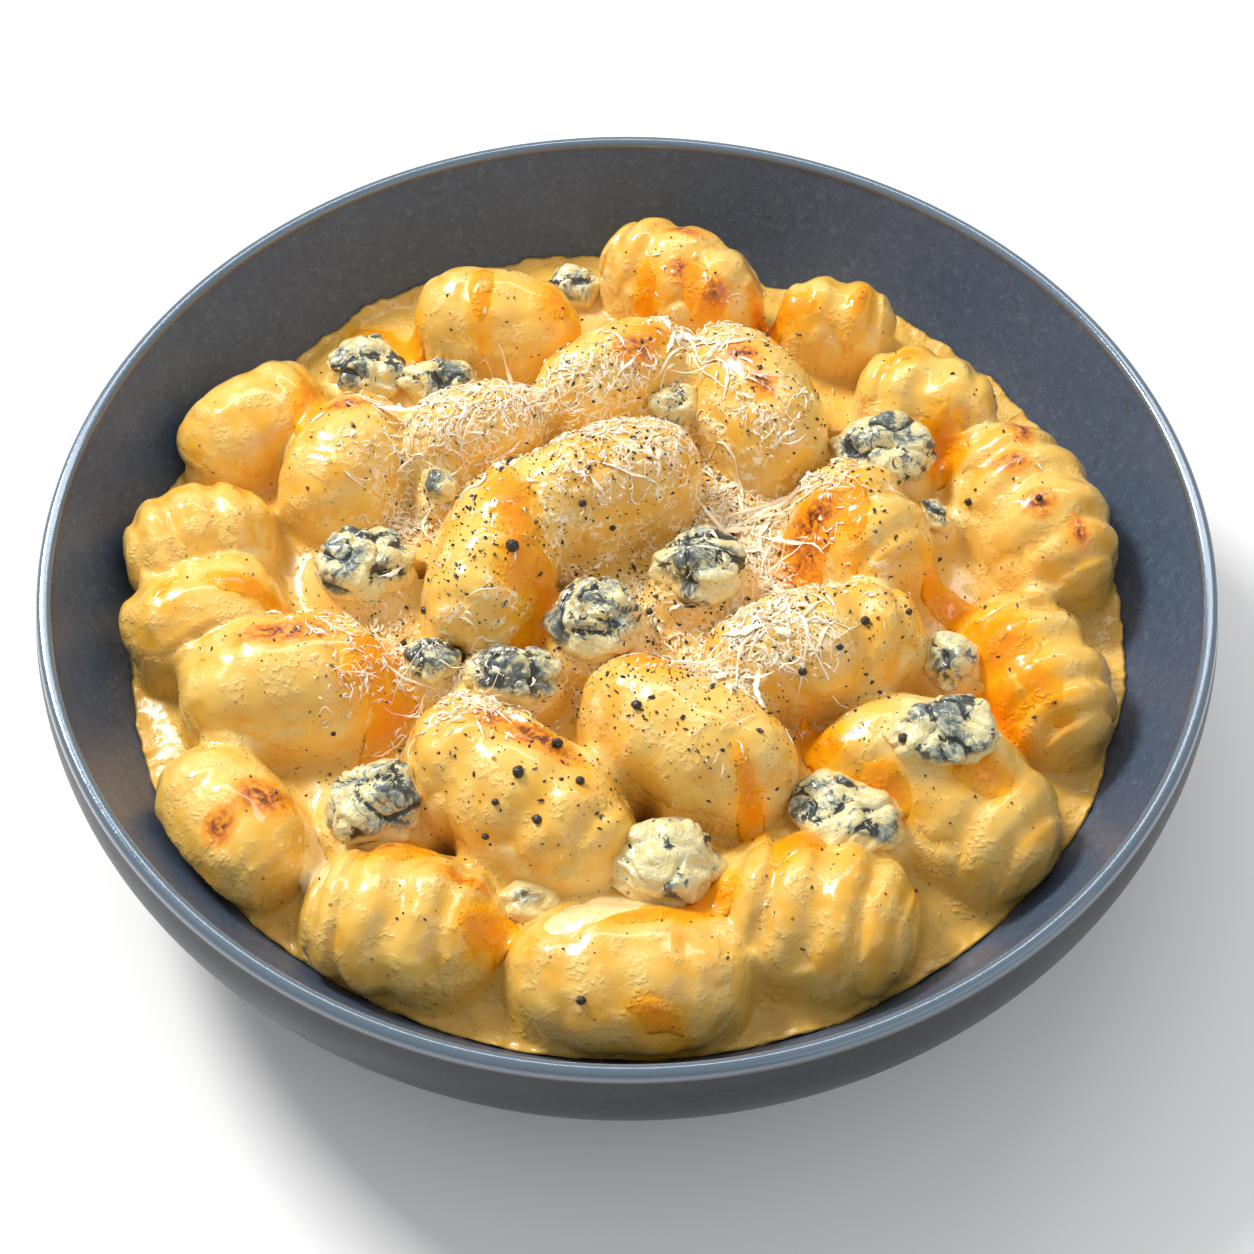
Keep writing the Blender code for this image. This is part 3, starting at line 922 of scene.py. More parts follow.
def read_points(mesh: Mesh) -> np.ndarray:
    """The mesh's vertices as rows of three numbers."""
    points = np.empty(len(mesh.vertices) * 3)
    mesh.vertices.foreach_get("co", points)
    return points.reshape(-1, 3)


def write_points(mesh: Mesh, points: np.ndarray) -> None:
    """Move the mesh's vertices."""
    mesh.vertices.foreach_set("co", points.astype(np.float32).ravel())
    mesh.update()


def paint(mesh: Mesh, **values: np.ndarray) -> None:
    """Store named values, one for each vertex, for the materials to read."""
    for name, numbers in values.items():
        layer = mesh.attributes.new(name, "FLOAT", "POINT")
        layer.data.foreach_set("value", np.clip(numbers, 0.0, 2.0).astype(np.float32))


def joined_mesh(name: str, points: np.ndarray, faces: np.ndarray) -> Mesh:
    """Join many copies of one small shape.

    Args:
        name: Name of the mesh.
        points: Corners of every copy, as copies by corners by three, in millimetres.
        faces: Triangles of one copy.

    Returns:
        One mesh that holds all the copies.
    """
    offsets = np.arange(len(points))[:, None, None] * points.shape[1]
    mesh = bpy.data.meshes.new(name)
    corners = (faces[None] + offsets).reshape(-1, 3)
    mesh.from_pydata((points.reshape(-1, 3) * MM).tolist(), [], corners.tolist())
    return mesh


def small_shape(shape: BMesh) -> tuple[np.ndarray, np.ndarray]:
    """Points and triangles of a small shape, for copies of it."""
    bmesh.ops.triangulate(shape, faces=shape.faces)
    bmesh.ops.recalc_face_normals(shape, faces=shape.faces)
    mesh = mesh_from("small_shape", shape)
    return read_points(mesh), np.array([tuple(polygon.vertices) for polygon in mesh.polygons])


@dataclass
class GnocchiMaker:
    """Models the gnocchi: stout rounded bodies with pressed rings, flattened where they touch."""

    around: int = 112
    rings: int = 104
    fullness: float = 2.35
    ridge_depth: float = 0.13
    faint_depth: float = 0.04
    faint_spacing: float = 6.2
    bend: float = 0.06
    softness: float = 30.0
    farthest: float = 4.0
    steps_in: int = 60
    lumps: tuple[tuple[float, float], ...] = ((0.588, 0.04), (0.42, 0.026), (0.25, 0.012), (0.13, 0.003))
    meshes: list[Mesh] = field(default_factory=list)

    def contact_planes(self) -> list[Planes]:
        """Flat faces where each gnocco presses on its neighbours, as normals and offsets."""
        planes: list[Planes] = [[] for _ in DUMPLINGS]
        steps = np.arange(-4, 5) / 8
        for i, a in enumerate(DUMPLINGS):
            line_a = a.centre + a.axis * ((a.length - a.width) * steps)[:, None]
            for j, b in enumerate(DUMPLINGS[:i]):
                line_b = b.centre + b.axis * ((b.length - b.width) * steps)[:, None]
                spans = line_b[None] - line_a[:, None]
                lengths = np.linalg.norm(spans, axis=2)
                row, column = np.unravel_index(lengths.argmin(), lengths.shape)
                distance = lengths[row, column]
                normal = spans[row, column] / distance
                along = (distance + (a.width - b.width) / 2) / 2
                offset = (line_a[row] + normal * along) @ normal
                planes[i].append((normal, offset - HEAP.gap / 2))
                planes[j].append((-normal, -offset - HEAP.gap / 2))
        return planes

    def _grooves(self, gnocco: Dumpling, unit: np.ndarray, seed: np.ndarray) -> np.ndarray:
        """Depth of the pressed rings at each point of the unit ball, as a share of the girth."""
        girth = np.hypot(unit[:, 0], unit[:, 1])
        sharp = gnocco.ridges > 0
        ridges = gnocco.ridges if sharp else round(gnocco.length / self.faint_spacing)
        depth = self.ridge_depth if sharp else self.faint_depth
        sway = 0.4 * noise_at(unit + seed, 0.8, 3.0)
        turn = np.arctan2(girth, unit[:, 2]) / math.pi * (ridges * 2 + 2) + sway
        fade = np.clip(0.8 + 0.5 * noise_at(unit + seed, 0.6, 4.0), 0.3, 1.0)
        return depth * fade * ((1 - np.cos(math.pi * turn)) / 2) ** 1.7

    def _body(self, number: int, gnocco: Dumpling, planes: Planes) -> Mesh:
        """Model one gnocco.

        Args:
            number: Its number, which seeds its lumps and its bend.
            gnocco: Its place and size.
            planes: The flat faces that it stays behind.

        Returns:
            The mesh, in place, with the depth of its grooves painted on, for the painted shade in them.
        """
        shape = bmesh.new()
        bmesh.ops.create_uvsphere(shape, u_segments=self.around, v_segments=self.rings, radius=1.0)
        mesh = mesh_from(f"gnocco_{number:02d}_fine", shape)
        unit = read_points(mesh)
        girth = np.hypot(unit[:, 0], unit[:, 1])
        seed = np.array((number * 3.1 / 1.7, 0.0, 0.0))
        lump = sum(height * noise_at(unit + seed, scale, 0.0) for scale, height in self.lumps)
        groove = self._grooves(gnocco, unit, seed)
        along = np.sign(unit[:, 2]) * np.abs(unit[:, 2]) ** (2 / self.fullness)
        fill = girth ** (2 / self.fullness) / np.maximum(girth, 1e-6) * (1 - groove) * (1 + lump)
        bend = random.Random(number).uniform(-self.bend, self.bend) * gnocco.length
        side = unit[:, 0] * fill * gnocco.width / 2 + bend * (along**2 - 0.4)
        ahead = along * (1 + lump) * gnocco.length / 2
        reach = gnocco.axis * ahead[:, None] + gnocco.across * side[:, None]
        reach[:, 2] += unit[:, 1] * fill * gnocco.height / 2
        reach *= self._share(reach, gnocco.centre, planes)[:, None]
        points = gnocco.centre + reach
        for _ in range(self.steps_in):
            over = np.hypot(points[:, 0], points[:, 1]) > BOWL.wall_radius(points[:, 2]) - HEAP.wall_film
            if not over.any():
                break
            points[over] = gnocco.centre + (points[over] - gnocco.centre) * 0.99
        write_points(mesh, points * MM)
        paint(mesh, groove=groove / self.ridge_depth)
        return mesh

    def _share(self, reach: np.ndarray, centre: np.ndarray, planes: Planes) -> np.ndarray:
        """How much of its reach each point keeps, so that it stays softly behind every plane."""
        total = np.exp(-self.softness * np.ones(len(reach)))
        for normal, offset in planes:
            room = offset - centre @ normal
            ahead = np.maximum(reach @ normal, 1e-6)
            total += np.exp(-self.softness * np.minimum(room / ahead, self.farthest))
        return -np.log(total) / self.softness

    def build(self) -> None:
        """Model every gnocco."""
        planes = self.contact_planes()
        for number, (gnocco, limits) in enumerate(zip(DUMPLINGS, planes), start=1):
            self.meshes.append(self._body(number, gnocco, limits))


@dataclass
class HeapMap:
    """Height map of the heap, seen from above, on square cells."""

    half: float = 96.0
    pitch: float = 0.5
    blend: float = 1.5
    exposed_film: float = -0.1
    bare_drop: float = 1.2
    pit_depth: float = 8.0
    dip: tuple[float, float, float, float] = (30.0, 78.0, 1.8, 200.0)
    no_gnocco: float = -20.0
    start_height: float = 58.0
    steps_down: int = 46
    step_share: float = 0.85
    cheddar: tuple[Patch, ...] = patches(
        (-27, 59, 16, 5, 90), (-46.5, 61.5, 18, 7, -34), (-57.5, 36.5, 17, 6, 95), (-19.5, 1, 30, 9, 99),
        (-14, -8, 14, 8, 110), (4, 46, 9, 6, -20), (30, 60, 17, 6, -30), (3.5, 65, 5, 10),
        (39, 7, 18, 5, 88), (31.5, 7.5, 10, 13, 0, 1.1), (56.5, 29.5, 9, 11), (57, -3, 16, 7, -50),
        (63, -17, 18, 13, -45, 1.2), (68.5, -25, 14, 7, -50), (62, -28, 9, 16, 10), (33, -36, 14, 6, -60),
        (41, -44.5, 12, 6, -30), (58, -44.5, 13, 8, -10), (-43, -22, 10, 17), (-39.5, -29, 17, 5, 55),
        (-36, -56, 13, 7, 20), (-22.5, -70, 9, 9), (11.5, -65.5, 16, 6, 33), (2, -69.5, 12, 5, 15),
        (19.5, -47.5, 4.5, 12, 15), (4, -25.5, 12, 8, -20), (-16, -38, 14, 6, -25),
        (28, -55.5, 14, 6, 38), (5, -86, 12, 5, -20), (-65.5, -6, 14, 5, -10), (-13, 57, 7, 12, 30, 0.6),
        (13.5, 62.5, 12, 6, -50, 0.8), (43, 60, 4, 10, -20, 0.6), (50, 45, 9, 4, 30, 0.6),
        (-79, -7, 8, 3.5, 60, 0.7),
    )
    cream: tuple[Patch, ...] = patches(
        (-5, -68, 24, 7, 22), (-50, -57, 5, 14, 20, 0.8),
    )
    browned: tuple[Patch, ...] = patches(
        (1, 42, 7, 5), (20, 40, 6, 5), (24, 33.5, 6, 4, -50), (70, 28.5, 4, 6, 20), (67.4, 20.7, 6, 4),
        (71.2, 11, 5, 5), (78, 6, 3, 6, 15), (-56.5, -18, 15, 5, 8), (-59, -47.5, 8, 6),
        (-65, -53, 4.5, 5), (-50.4, 31.8, 7, 3), (4, -21.5, 13, 5, -15), (-14, -40, 13, 5, -25),
        (-21.5, -36, 8, 4, -10, 0.7), (9, 66, 4, 5, 20), (10.5, 74.5, 7, 3, -25),
        (16, 61.5, 6, 4, 0, 0.8), (32, 8, 9, 6, 10, 0.9), (30, 4, 8, 6, 0, 0.7),
        (-25.5, -62.5, 7, 3, -15, 0.7), (-38, -56, 6, 3, 0, 0.6), (26, 62, 8, 3, -10, 0.6),
    )
    pits: tuple[Patch, ...] = patches(
        (-35.9, 2.6, 3.5, 5), (-29.9, -17, 6, 4, -20), (-29.7, -52, 5, 5), (3.3, -46, 6, 4, -20),
        (24.5, -37.5, 5, 3.5, -30), (-10.8, -1, 4, 5), (10.9, -6.2, 4, 2.5), (38.1, 36, 6, 3, 10),
    )
    fields: dict[str, np.ndarray] = field(default_factory=dict)

    def __post_init__(self) -> None:
        """Lay out the cells."""
        line = np.arange(-self.half, self.half + self.pitch / 2, self.pitch)
        self.x, self.y = np.meshgrid(line, line, indexing="ij")
        self.flat = np.stack([self.x.ravel(), self.y.ravel()], axis=1)

    def sample(self, name: str, x: np.ndarray, y: np.ndarray) -> np.ndarray:
        """Read a field at places in millimetres."""
        return interp_map(self.fields[name], (x + self.half) / self.pitch, (y + self.half) / self.pitch)

    def below(self, name: str, points: np.ndarray) -> np.ndarray:
        """Read a field straight below or above rows of points in millimetres."""
        return self.sample(name, points[:, 0], points[:, 1])

    def lumps(self, scale: float, seed: float) -> np.ndarray:
        """A noise field."""
        return noise_at(self.flat, scale, seed).reshape(self.x.shape)

    def survey(self, meshes: Iterable[Mesh]) -> None:
        """Work out every field from the gnocchi's meshes."""
        self._tops(meshes)
        for step in (self._shell, self._sauce, self._masks, self._layers, self._cover):
            step()

    def _tops(self, meshes: Iterable[Mesh]) -> None:
        """Height of the gnocchi's tops, found by looking straight down on each of them."""
        tops = np.full(self.x.shape, self.no_gnocco)
        down = Vector((0.0, 0.0, -1.0))
        for gnocco, mesh in zip(DUMPLINGS, meshes):
            corners = [vertex.co for vertex in mesh.vertices]
            tree = BVHTree.FromPolygons(corners, [polygon.vertices for polygon in mesh.polygons])
            reach = gnocco.length / 2 + 2
            near = np.argwhere(np.hypot(self.x - gnocco.x, self.y - gnocco.y) < reach)
            for i, j in near:
                hit = tree.ray_cast(Vector((self.x[i, j] * MM, self.y[i, j] * MM, 0.1)), down)[0]
                if hit is not None:
                    tops[i, j] = max(tops[i, j], hit.z / MM)
        self.fields["tops"] = tops

    def _shell(self) -> None:
        """Height of the gnocchi's plain rounded forms, without ridges and flats."""
        shell = np.full(self.x.shape, self.no_gnocco)
        power = GnocchiMaker.fullness
        for gnocco in DUMPLINGS:
            offset_x, offset_y = self.x - gnocco.x, self.y - gnocco.y
            along = np.abs(offset_x * gnocco.axis[0] + offset_y * gnocco.axis[1]) / (gnocco.length / 2)
            over = (offset_x * gnocco.across[0] + offset_y * gnocco.across[1]) / (gnocco.width / 2)
            girth = np.maximum(1 - along**power, 0.0) ** (1 / power)
            rise = np.sqrt(np.maximum(girth**2 - over**2, 0.0)) * gnocco.height / 2
            shell = np.where(girth > np.abs(over), np.maximum(shell, gnocco.centre[2] + rise), shell)
        self.fields["shell"] = shell

    def _sauce(self) -> None:
        """Height of the smooth skin over sauce, gnocchi and crumbles, found by stepping down to it."""
        radius = np.hypot(self.x, self.y)
        level = HEAP.sauce_level(np.minimum(radius, 95.0))
        level += 1.1 * self.lumps(14.0, 1.0) + 0.35 * self.lumps(4.5, 2.0)
        x, y, depth, spread = self.dip
        level -= depth * np.exp(-((self.x - x) ** 2 + (self.y - y) ** 2) / spread)
        level += smoothstep(78.0, 88.0, radius) * 0.4 * self.lumps(2.4, 9.0)
        self.fields["level"] = level
        bodies = [(gnocco.centre, gnocco.axis, gnocco.across, gnocco.length / 2, gnocco.width / 2,
                   gnocco.height / 2) for gnocco in DUMPLINGS]
        for lump in CRUMBLES:
            foot = lump.centre - np.array((0, 0, 0.45 * lump.height))
            bodies.append((foot, np.array((1.0, 0, 0)), np.array((0, 1.0, 0)), lump.length / 2 + 1.2,
                           lump.width / 2 + 1.2, 0.42 * lump.height))
        cells = []
        for centre, _, _, half_length, *_ in bodies:
            near = np.hypot(self.x - centre[0], self.y - centre[1]) < half_length + 9
            cells.append(np.nonzero(near.ravel())[0])
        height = np.full(self.x.size, self.start_height)
        for _ in range(self.steps_down):
            total = np.exp(-(height - level.ravel()) / self.blend)
            for (centre, axis, across, *half), near in zip(bodies, cells):
                distance = self._distance(near, height, centre, axis, across, half)
                total[near] += np.exp(-distance / self.blend)
            height += self.blend * np.log(np.maximum(total, 1e-30)) * self.step_share
        self.fields["skin"] = height.reshape(self.x.shape)

    def _distance(self, near: np.ndarray, height: np.ndarray, centre: np.ndarray, axis: np.ndarray,
                  across: np.ndarray, half: Sequence[float]) -> np.ndarray:
        """Distance from points on the skin to a rounded body.

        Args:
            near: Numbers of the cells to look at.
            height: Height of the skin at every cell.
            centre: The body's middle.
            axis: Unit vector along the body.
            across: Unit vector across the body.
            half: Half its length, width and height.

        Returns:
            The distance for each cell, negative inside.
        """
        offset_x = self.flat[near, 0] - centre[0]
        offset_y = self.flat[near, 1] - centre[1]
        a = (offset_x * axis[0] + offset_y * axis[1]) / half[0]
        b = (offset_x * across[0] + offset_y * across[1]) / half[1]
        c = (height[near] - centre[2]) / half[2]
        power = GnocchiMaker.fullness
        size = (np.abs(a) ** power + np.hypot(b, c) ** power) ** (1 / power)
        slope = np.sqrt((a / half[0]) ** 2 + (b / half[1]) ** 2 + (c / half[2]) ** 2)
        return size * (size - 1.0) / np.maximum(slope, 1e-4)

    def _layers(self) -> None:
        """Sauce surface, which follows the ridges and dips under the bare gnocchi, and what shows on top."""
        tops, skin, shell = self.fields["tops"], self.fields["skin"], self.fields["shell"]
        both = (tops > self.no_gnocco / 2) & (shell > self.no_gnocco / 2)
        relief = blur(np.where(both, np.clip(tops - shell, -2.0, 1.0), 0.0), 1, 1)
        deep = skin - np.maximum(shell, self.fields["level"])
        surface = skin + relief * smoothstep(3.5, 0.6, deep)
        rise_x, rise_y = np.gradient(np.maximum(blur(tops, 1, 1), 10.0), self.pitch)
        film = (surface - tops) / np.sqrt(1.0 + np.minimum(rise_x**2 + rise_y**2, 16.0))
        edge = self.exposed_film + 0.12 * self.lumps(7.0, 3.0) + 0.06 * self.lumps(2.5, 4.0)
        covered = smoothstep(-0.4, 0.1, film - edge)
        # The pits are dips in the sauce, and the same mask gives their middles painted shade, a near black
        # brown.
        pit_shade = smoothstep(0.0, 0.5, self.fields["pits"])
        self.fields["pit_shade"] = smoothstep(0.35, 1.0, pit_shade)
        self.fields["sauce"] = surface - 0.12 - self.bare_drop * (1.0 - covered) - self.pit_depth * pit_shade
        self.fields["visible"] = np.maximum(self.fields["sauce"], tops)
        smooth = blur(self.fields["visible"], 2, 2)
        broad = blur(self.fields["visible"], 6, 3)
        self.fields["smooth"] = smooth
        # Painted shade: a deeper golden in crevices, where the finely blurred heap lies below the broadly
        # blurred one, and in the thick sauce by the bowl's wall.
        pool = smoothstep(70.0, 80.0, np.hypot(self.x, self.y)) * smoothstep(0.8, 2.5, film)
        self.fields["hollow"] = np.maximum(smoothstep(0.25, 2.4, broad - smooth), pool)
        self.fields["film"] = np.clip(film / 1.6, 0.0, 1.2)

    def _masks(self) -> None:
        """Melted patches, cheddar stain and browning."""
        wobble = 0.30 * self.lumps(6.0, 5.0) + 0.16 * self.lumps(2.4, 6.0)
        for name in ("cheddar", "cream", "browned", "pits"):
            best = np.full(self.x.shape, -1.0)
            for patch in getattr(self, name):
                best = np.maximum(best, patch.strength * patch.mask(self.x, self.y, wobble))
            self.fields[name] = best
        self.fields["stain"] = smoothstep(-0.32, 0.02, self.fields["cheddar"])
        self.fields["browning"] = smoothstep(-0.75, 0.85, self.fields["browned"]) * 1.15
        grated = np.zeros(self.x.shape)
        for drift in DRIFTS:
            mask = smoothstep(-0.5, 0.9, drift.mask(self.x, self.y, wobble))
            grated = np.maximum(grated, drift.strength * mask)
        self.fields["grated"] = grated

    def _cover(self) -> None:
        """What loose toppings lie on: the heap with the blue cheese."""
        cover = self.fields["visible"].copy()
        for lump in CRUMBLES:
            far = np.hypot((self.x - lump.x) / (lump.length / 2), (self.y - lump.y) / (lump.width / 2))
            rise = lump.height / 2 * np.sqrt(np.clip(1.0 - far**2, 0.0, 1.0))
            cover = np.where(far < 1.0, np.maximum(cover, lump.centre[2] + rise), cover)
        self.fields["cover"] = cover


@dataclass
class SauceMaker:
    """Models the sauce bed and what is melted on it from the heap's map."""

    heap: HeapMap
    across: int = 296
    skirt: tuple[float, ...] = (21.0, 15.0, 10.5, 7.8)
    edge_drop: float = 0.4
    cut_off: float = -0.16

    def _disc(self, cells: int) -> tuple[Mesh, np.ndarray]:
        """A square grid drawn out to a disc that ends on the bowl's wall.

        Args:
            cells: Cells across.

        Returns:
            The flat mesh and each vertex's share of the way from the middle to the wall.
        """
        shape = bmesh.new()
        bmesh.ops.create_grid(shape, x_segments=cells, y_segments=cells, size=1.0)
        mesh = mesh_from("disc", shape)
        square = read_points(mesh)
        a, b = square[:, 0], square[:, 1]
        wide = np.abs(a) > np.abs(b)
        share = np.where(wide, a, b)
        safe_a, safe_b = np.where(np.abs(a) < 1e-9, 1e-9, a), np.where(np.abs(b) < 1e-9, 1e-9, b)
        turn = np.where(wide, math.pi / 4 * b / safe_a, math.pi / 2 - math.pi / 4 * a / safe_b)
        x, y = share * np.cos(turn), share * np.sin(turn)
        bearing = np.arctan2(y, x)
        rim_x, rim_y = HEAP.sauce_radius * np.cos(bearing), HEAP.sauce_radius * np.sin(bearing)
        level = self.heap.sample("level", rim_x, rim_y)
        radius = BOWL.wall_radius(level) + 0.12
        share = np.hypot(x, y)
        points = np.stack([x * radius, y * radius, level], axis=1)
        write_points(mesh, points)
        return mesh, share

    def bed(self) -> Mesh:
        """The sauce: its skin, and a skirt that follows the wall down to the bowl's floor."""
        mesh, share = self._disc(self.across)
        points = read_points(mesh)
        wall_level = points[:, 2].copy()
        points[:, 2] = self.heap.below("sauce", points)
        near_wall = smoothstep(0.962, 1.0, share)
        creep = 0.6 + 0.7 * noise_at(points[:, :2], 5.0, 21.0) + 0.35 * noise_at(points[:, :2], 1.6, 22.0)
        points[:, 2] = points[:, 2] * (1 - near_wall) + (wall_level + creep) * near_wall
        write_points(mesh, points)
        shape = bmesh.new()
        shape.from_mesh(mesh)
        border = [edge for edge in shape.edges if edge.is_boundary]
        for height in self.skirt:
            made = bmesh.ops.extrude_edge_only(shape, edges=border)["geom"]
            border = [item for item in made if isinstance(item, bmesh.types.BMEdge) and item.is_boundary]
            radius = float(BOWL.wall_radius(np.array(height))) - 0.3
            for vert in {v for edge in border for v in edge.verts}:
                bearing = math.atan2(vert.co.y, vert.co.x)
                vert.co = (radius * math.cos(bearing), radius * math.sin(bearing), height)
        bmesh.ops.contextual_create(shape, geom=border)
        bmesh.ops.recalc_face_normals(shape, faces=shape.faces)
        bmesh.ops.scale(shape, vec=(MM, MM, MM), verts=shape.verts)
        return mesh_from("sauce_bed", shape)

    def melted(self, name: str, field_name: str, thickness: float, cells: int) -> Mesh:
        """A melted layer over the heap where a mask is above its edge.

        Args:
            name: Name of the mesh.
            field_name: The mask's name in the heap's map.
            thickness: How thick the layer is in its middle, in millimetres.
            cells: Cells across the disc that it is cut from.

        Returns:
            The mesh.
        """
        mesh, _ = self._disc(cells)
        points = read_points(mesh)
        mask = self.heap.below(field_name, points)
        under = self.heap.below("smooth", points)
        visible = self.heap.below("visible", points)
        body = smoothstep(-0.1, 0.7, mask)
        edge = self.edge_drop * smoothstep(0.1, -0.14, mask)
        points[:, 2] = np.maximum(under, visible - 0.2) + thickness * body - edge
        write_points(mesh, points)
        shape = bmesh.new()
        shape.from_mesh(mesh)
        shape.verts.ensure_lookup_table()
        doomed = [vert for vert, value in zip(shape.verts, mask) if value < self.cut_off]
        bmesh.ops.delete(shape, geom=doomed, context="VERTS")
        bmesh.ops.scale(shape, vec=(MM, MM, MM), verts=shape.verts)
        bmesh.ops.solidify(shape, geom=list(shape.faces), thickness=0.0006)
        return mesh_from(name, shape)


@dataclass
class CrumbleMaker:
    """Models the lumps of blue cheese: soft chunks with cracks and pits."""

    crag: float = 0.34
    cracks: tuple[float, float] = (5.2, 0.55)
    pits: tuple[float, float] = (2.8, 0.16)
    crumbs: tuple[float, float] = (1.1, 0.08)

    def build(self, number: int, lump: Crumble, heap: HeapMap) -> Mesh:
        """Model one lump.

        Args:
            number: Its number, which seeds its shape.
            lump: Its place and size.
            heap: The heap's map, which says how deep the lump sits in the sauce.

        Returns:
            The mesh, in place, with its cracks and its sunk foot painted on.
        """
        shape = bmesh.new()
        bmesh.ops.create_icosphere(shape, subdivisions=6 if lump.length > 11 else 5, radius=1.0)
        mesh = mesh_from(f"blue_cheese_{number:02d}_fine", shape)
        unit = read_points(mesh)
        seed = np.array((number * 5.3, 1.0, 0.0))
        size = np.array((lump.length, lump.width, lump.height)) / 2
        coarse = noise_at(unit + seed, 1.1, 0.0) + 0.6 * noise_at(unit + seed, 0.45, 5.0)
        broken = 1 - smoothstep(0.0, 0.2, np.abs(noise_at(unit * size + seed, self.cracks[0], 1.0)))
        pitted = 1 - smoothstep(0.0, 0.3, np.abs(noise_at(unit * size + seed, self.pits[0], 2.0)))
        crumbly = noise_at(unit * size + seed, self.crumbs[0], 3.0)
        relief = self.crumbs[1] * crumbly - self.cracks[1] * broken - self.pits[1] * pitted
        reach = 1.0 + self.crag * coarse
        points = unit * size * reach[:, None] + unit * (relief + 0.6)[:, None]
        points += lump.centre
        write_points(mesh, points * MM)
        above = points[:, 2] - heap.below("sauce", points)
        paint(mesh, crack=np.clip(broken + 0.6 * pitted, 0.0, 1.0), sunk=smoothstep(3.6, 0.4, above))
        return mesh


@dataclass(frozen=True)
class Cut:
    """How one sort of grated cheese is cut: how many shreds, and how long, wide and lively they are."""

    name: str
    count: int
    segments: int
    length: float
    longest: float
    width: float
    curl: float
    clump: float
    seed: int
    drifts: tuple[Patch, ...] = DRIFTS


STRANDS = Cut("grated_cheese", 1500, 6, 2.9, 10.0, 0.36, 0.22, 2.6, 11)
FLAKES = Cut("grated_crumbs", 3600, 3, 1.2, 2.6, 0.42, 0.5, 2.8, 12)
RIBBONS = Cut("grated_ribbons", 110, 10, 7.0, 15.0, 0.7, 0.12, 2.4, 13, RIBBON_DRIFTS)


@dataclass
class ShredMaker:
    """Scatters shreds of hard cheese: thin flat ragged ribbons that curl and lie in drifts."""

    heap: HeapMap
    reach: float = 80.0
    thickness: float = 0.14
    shortest: float = 0.7
    narrowest: float = 0.22
    widest: float = 1.5
    steepest: float = 0.9

    def _ribbon(self, segments: int) -> tuple[np.ndarray, np.ndarray]:
        """One straight ribbon of three sides along Z, as points and triangles."""
        shape = bmesh.new()
        bmesh.ops.create_cone(shape, cap_ends=True, segments=3, radius1=0.5, radius2=0.5, depth=1.0)
        sides = [edge for edge in shape.edges if abs(edge.verts[0].co.z - edge.verts[1].co.z) > 0.5]
        bmesh.ops.subdivide_edges(shape, edges=sides, cuts=segments - 1)
        return small_shape(shape)

    def _starts(self, cut: Cut, draw: np.random.Generator) -> np.ndarray:
        """Where each shred starts: in clumps inside the drifts."""
        weights = np.array([drift.strength for drift in cut.drifts])
        clumps = draw.choice(len(cut.drifts), cut.count // 6, p=weights / weights.sum())
        spots = []
        for number in clumps:
            drift = cut.drifts[number]
            turn = math.radians(drift.yaw)
            along, over = draw.normal(0, drift.length / 3.2), draw.normal(0, drift.width / 3.2)
            spots.append((drift.x + along * math.cos(turn) - over * math.sin(turn),
                          drift.y + along * math.sin(turn) + over * math.cos(turn)))
        chosen = np.array(spots)[draw.integers(0, len(spots), cut.count)]
        starts = chosen + draw.normal(0, cut.clump, (cut.count, 2))
        return starts[np.hypot(starts[:, 0], starts[:, 1]) < self.reach]

    def build(self, cut: Cut) -> Mesh:
        """All shreds of one cut as one mesh of thin closed ribbons.

        Args:
            cut: How they are cut.

        Returns:
            The mesh, in place.
        """
        draw = np.random.default_rng(cut.seed)
        starts = self._starts(cut, draw)
        count, stations = len(starts), cut.segments + 1
        length = np.clip(draw.lognormal(math.log(cut.length), 0.5, count), self.shortest, cut.longest)
        width = np.clip(draw.lognormal(math.log(cut.width), 0.4, count), self.narrowest, self.widest)
        turns = draw.normal(0, cut.curl, (count, 1)) + draw.normal(0, cut.curl, (count, stations))
        heading = draw.uniform(0, 2 * math.pi, (count, 1)) + np.cumsum(turns, axis=1)
        step = (length / cut.segments)[:, None]
        x = starts[:, :1] + np.cumsum(np.cos(heading) * step, axis=1)
        y = starts[:, 1:] + np.cumsum(np.sin(heading) * step, axis=1)
        ground = self.heap.sample("cover", x.ravel(), y.ravel()).reshape(x.shape)
        share = np.linspace(0.0, 1.0, stations)[None, :]
        chord = ground[:, :1] * (1 - share) + ground[:, -1:] * share
        held = np.maximum(0.35 * ground + 0.65 * chord, ground - 0.05)
        arch = np.sin(math.pi * share) * draw.exponential(0.22, (count, 1))
        arch = arch + draw.uniform(0.0, 0.4, (count, 1))
        z = held + arch + share * draw.exponential(0.15, (count, 1))
        taper = 0.1 + 0.9 * np.sin(math.pi * np.clip(share, 0.03, 0.97))
        spread = taper * draw.uniform(0.5, 1.5, x.shape) * width[:, None]
        roll = draw.normal(0, 0.35, (count, 1))
        roll = roll + np.cumsum(draw.normal(0, 0.14, (count, stations)), axis=1)
        points, faces = self._ribbon(cut.segments)
        station = np.rint((points[:, 2] + 0.5) * cut.segments).astype(int)
        side_x, side_y = -np.sin(heading)[:, station], np.cos(heading)[:, station]
        tilt, wide = roll[:, station], spread[:, station]
        across = points[:, 0] * wide * np.cos(tilt) - points[:, 1] * self.thickness * np.sin(tilt)
        rise = points[:, 0] * wide * np.sin(tilt) + points[:, 1] * self.thickness * np.cos(tilt)
        placed = np.stack([x[:, station] + side_x * across, y[:, station] + side_y * across,
                           z[:, station] + rise], axis=2)
        gentle = np.ptp(ground, axis=1) < self.steepest * length
        return joined_mesh(cut.name, placed[gentle], faces)


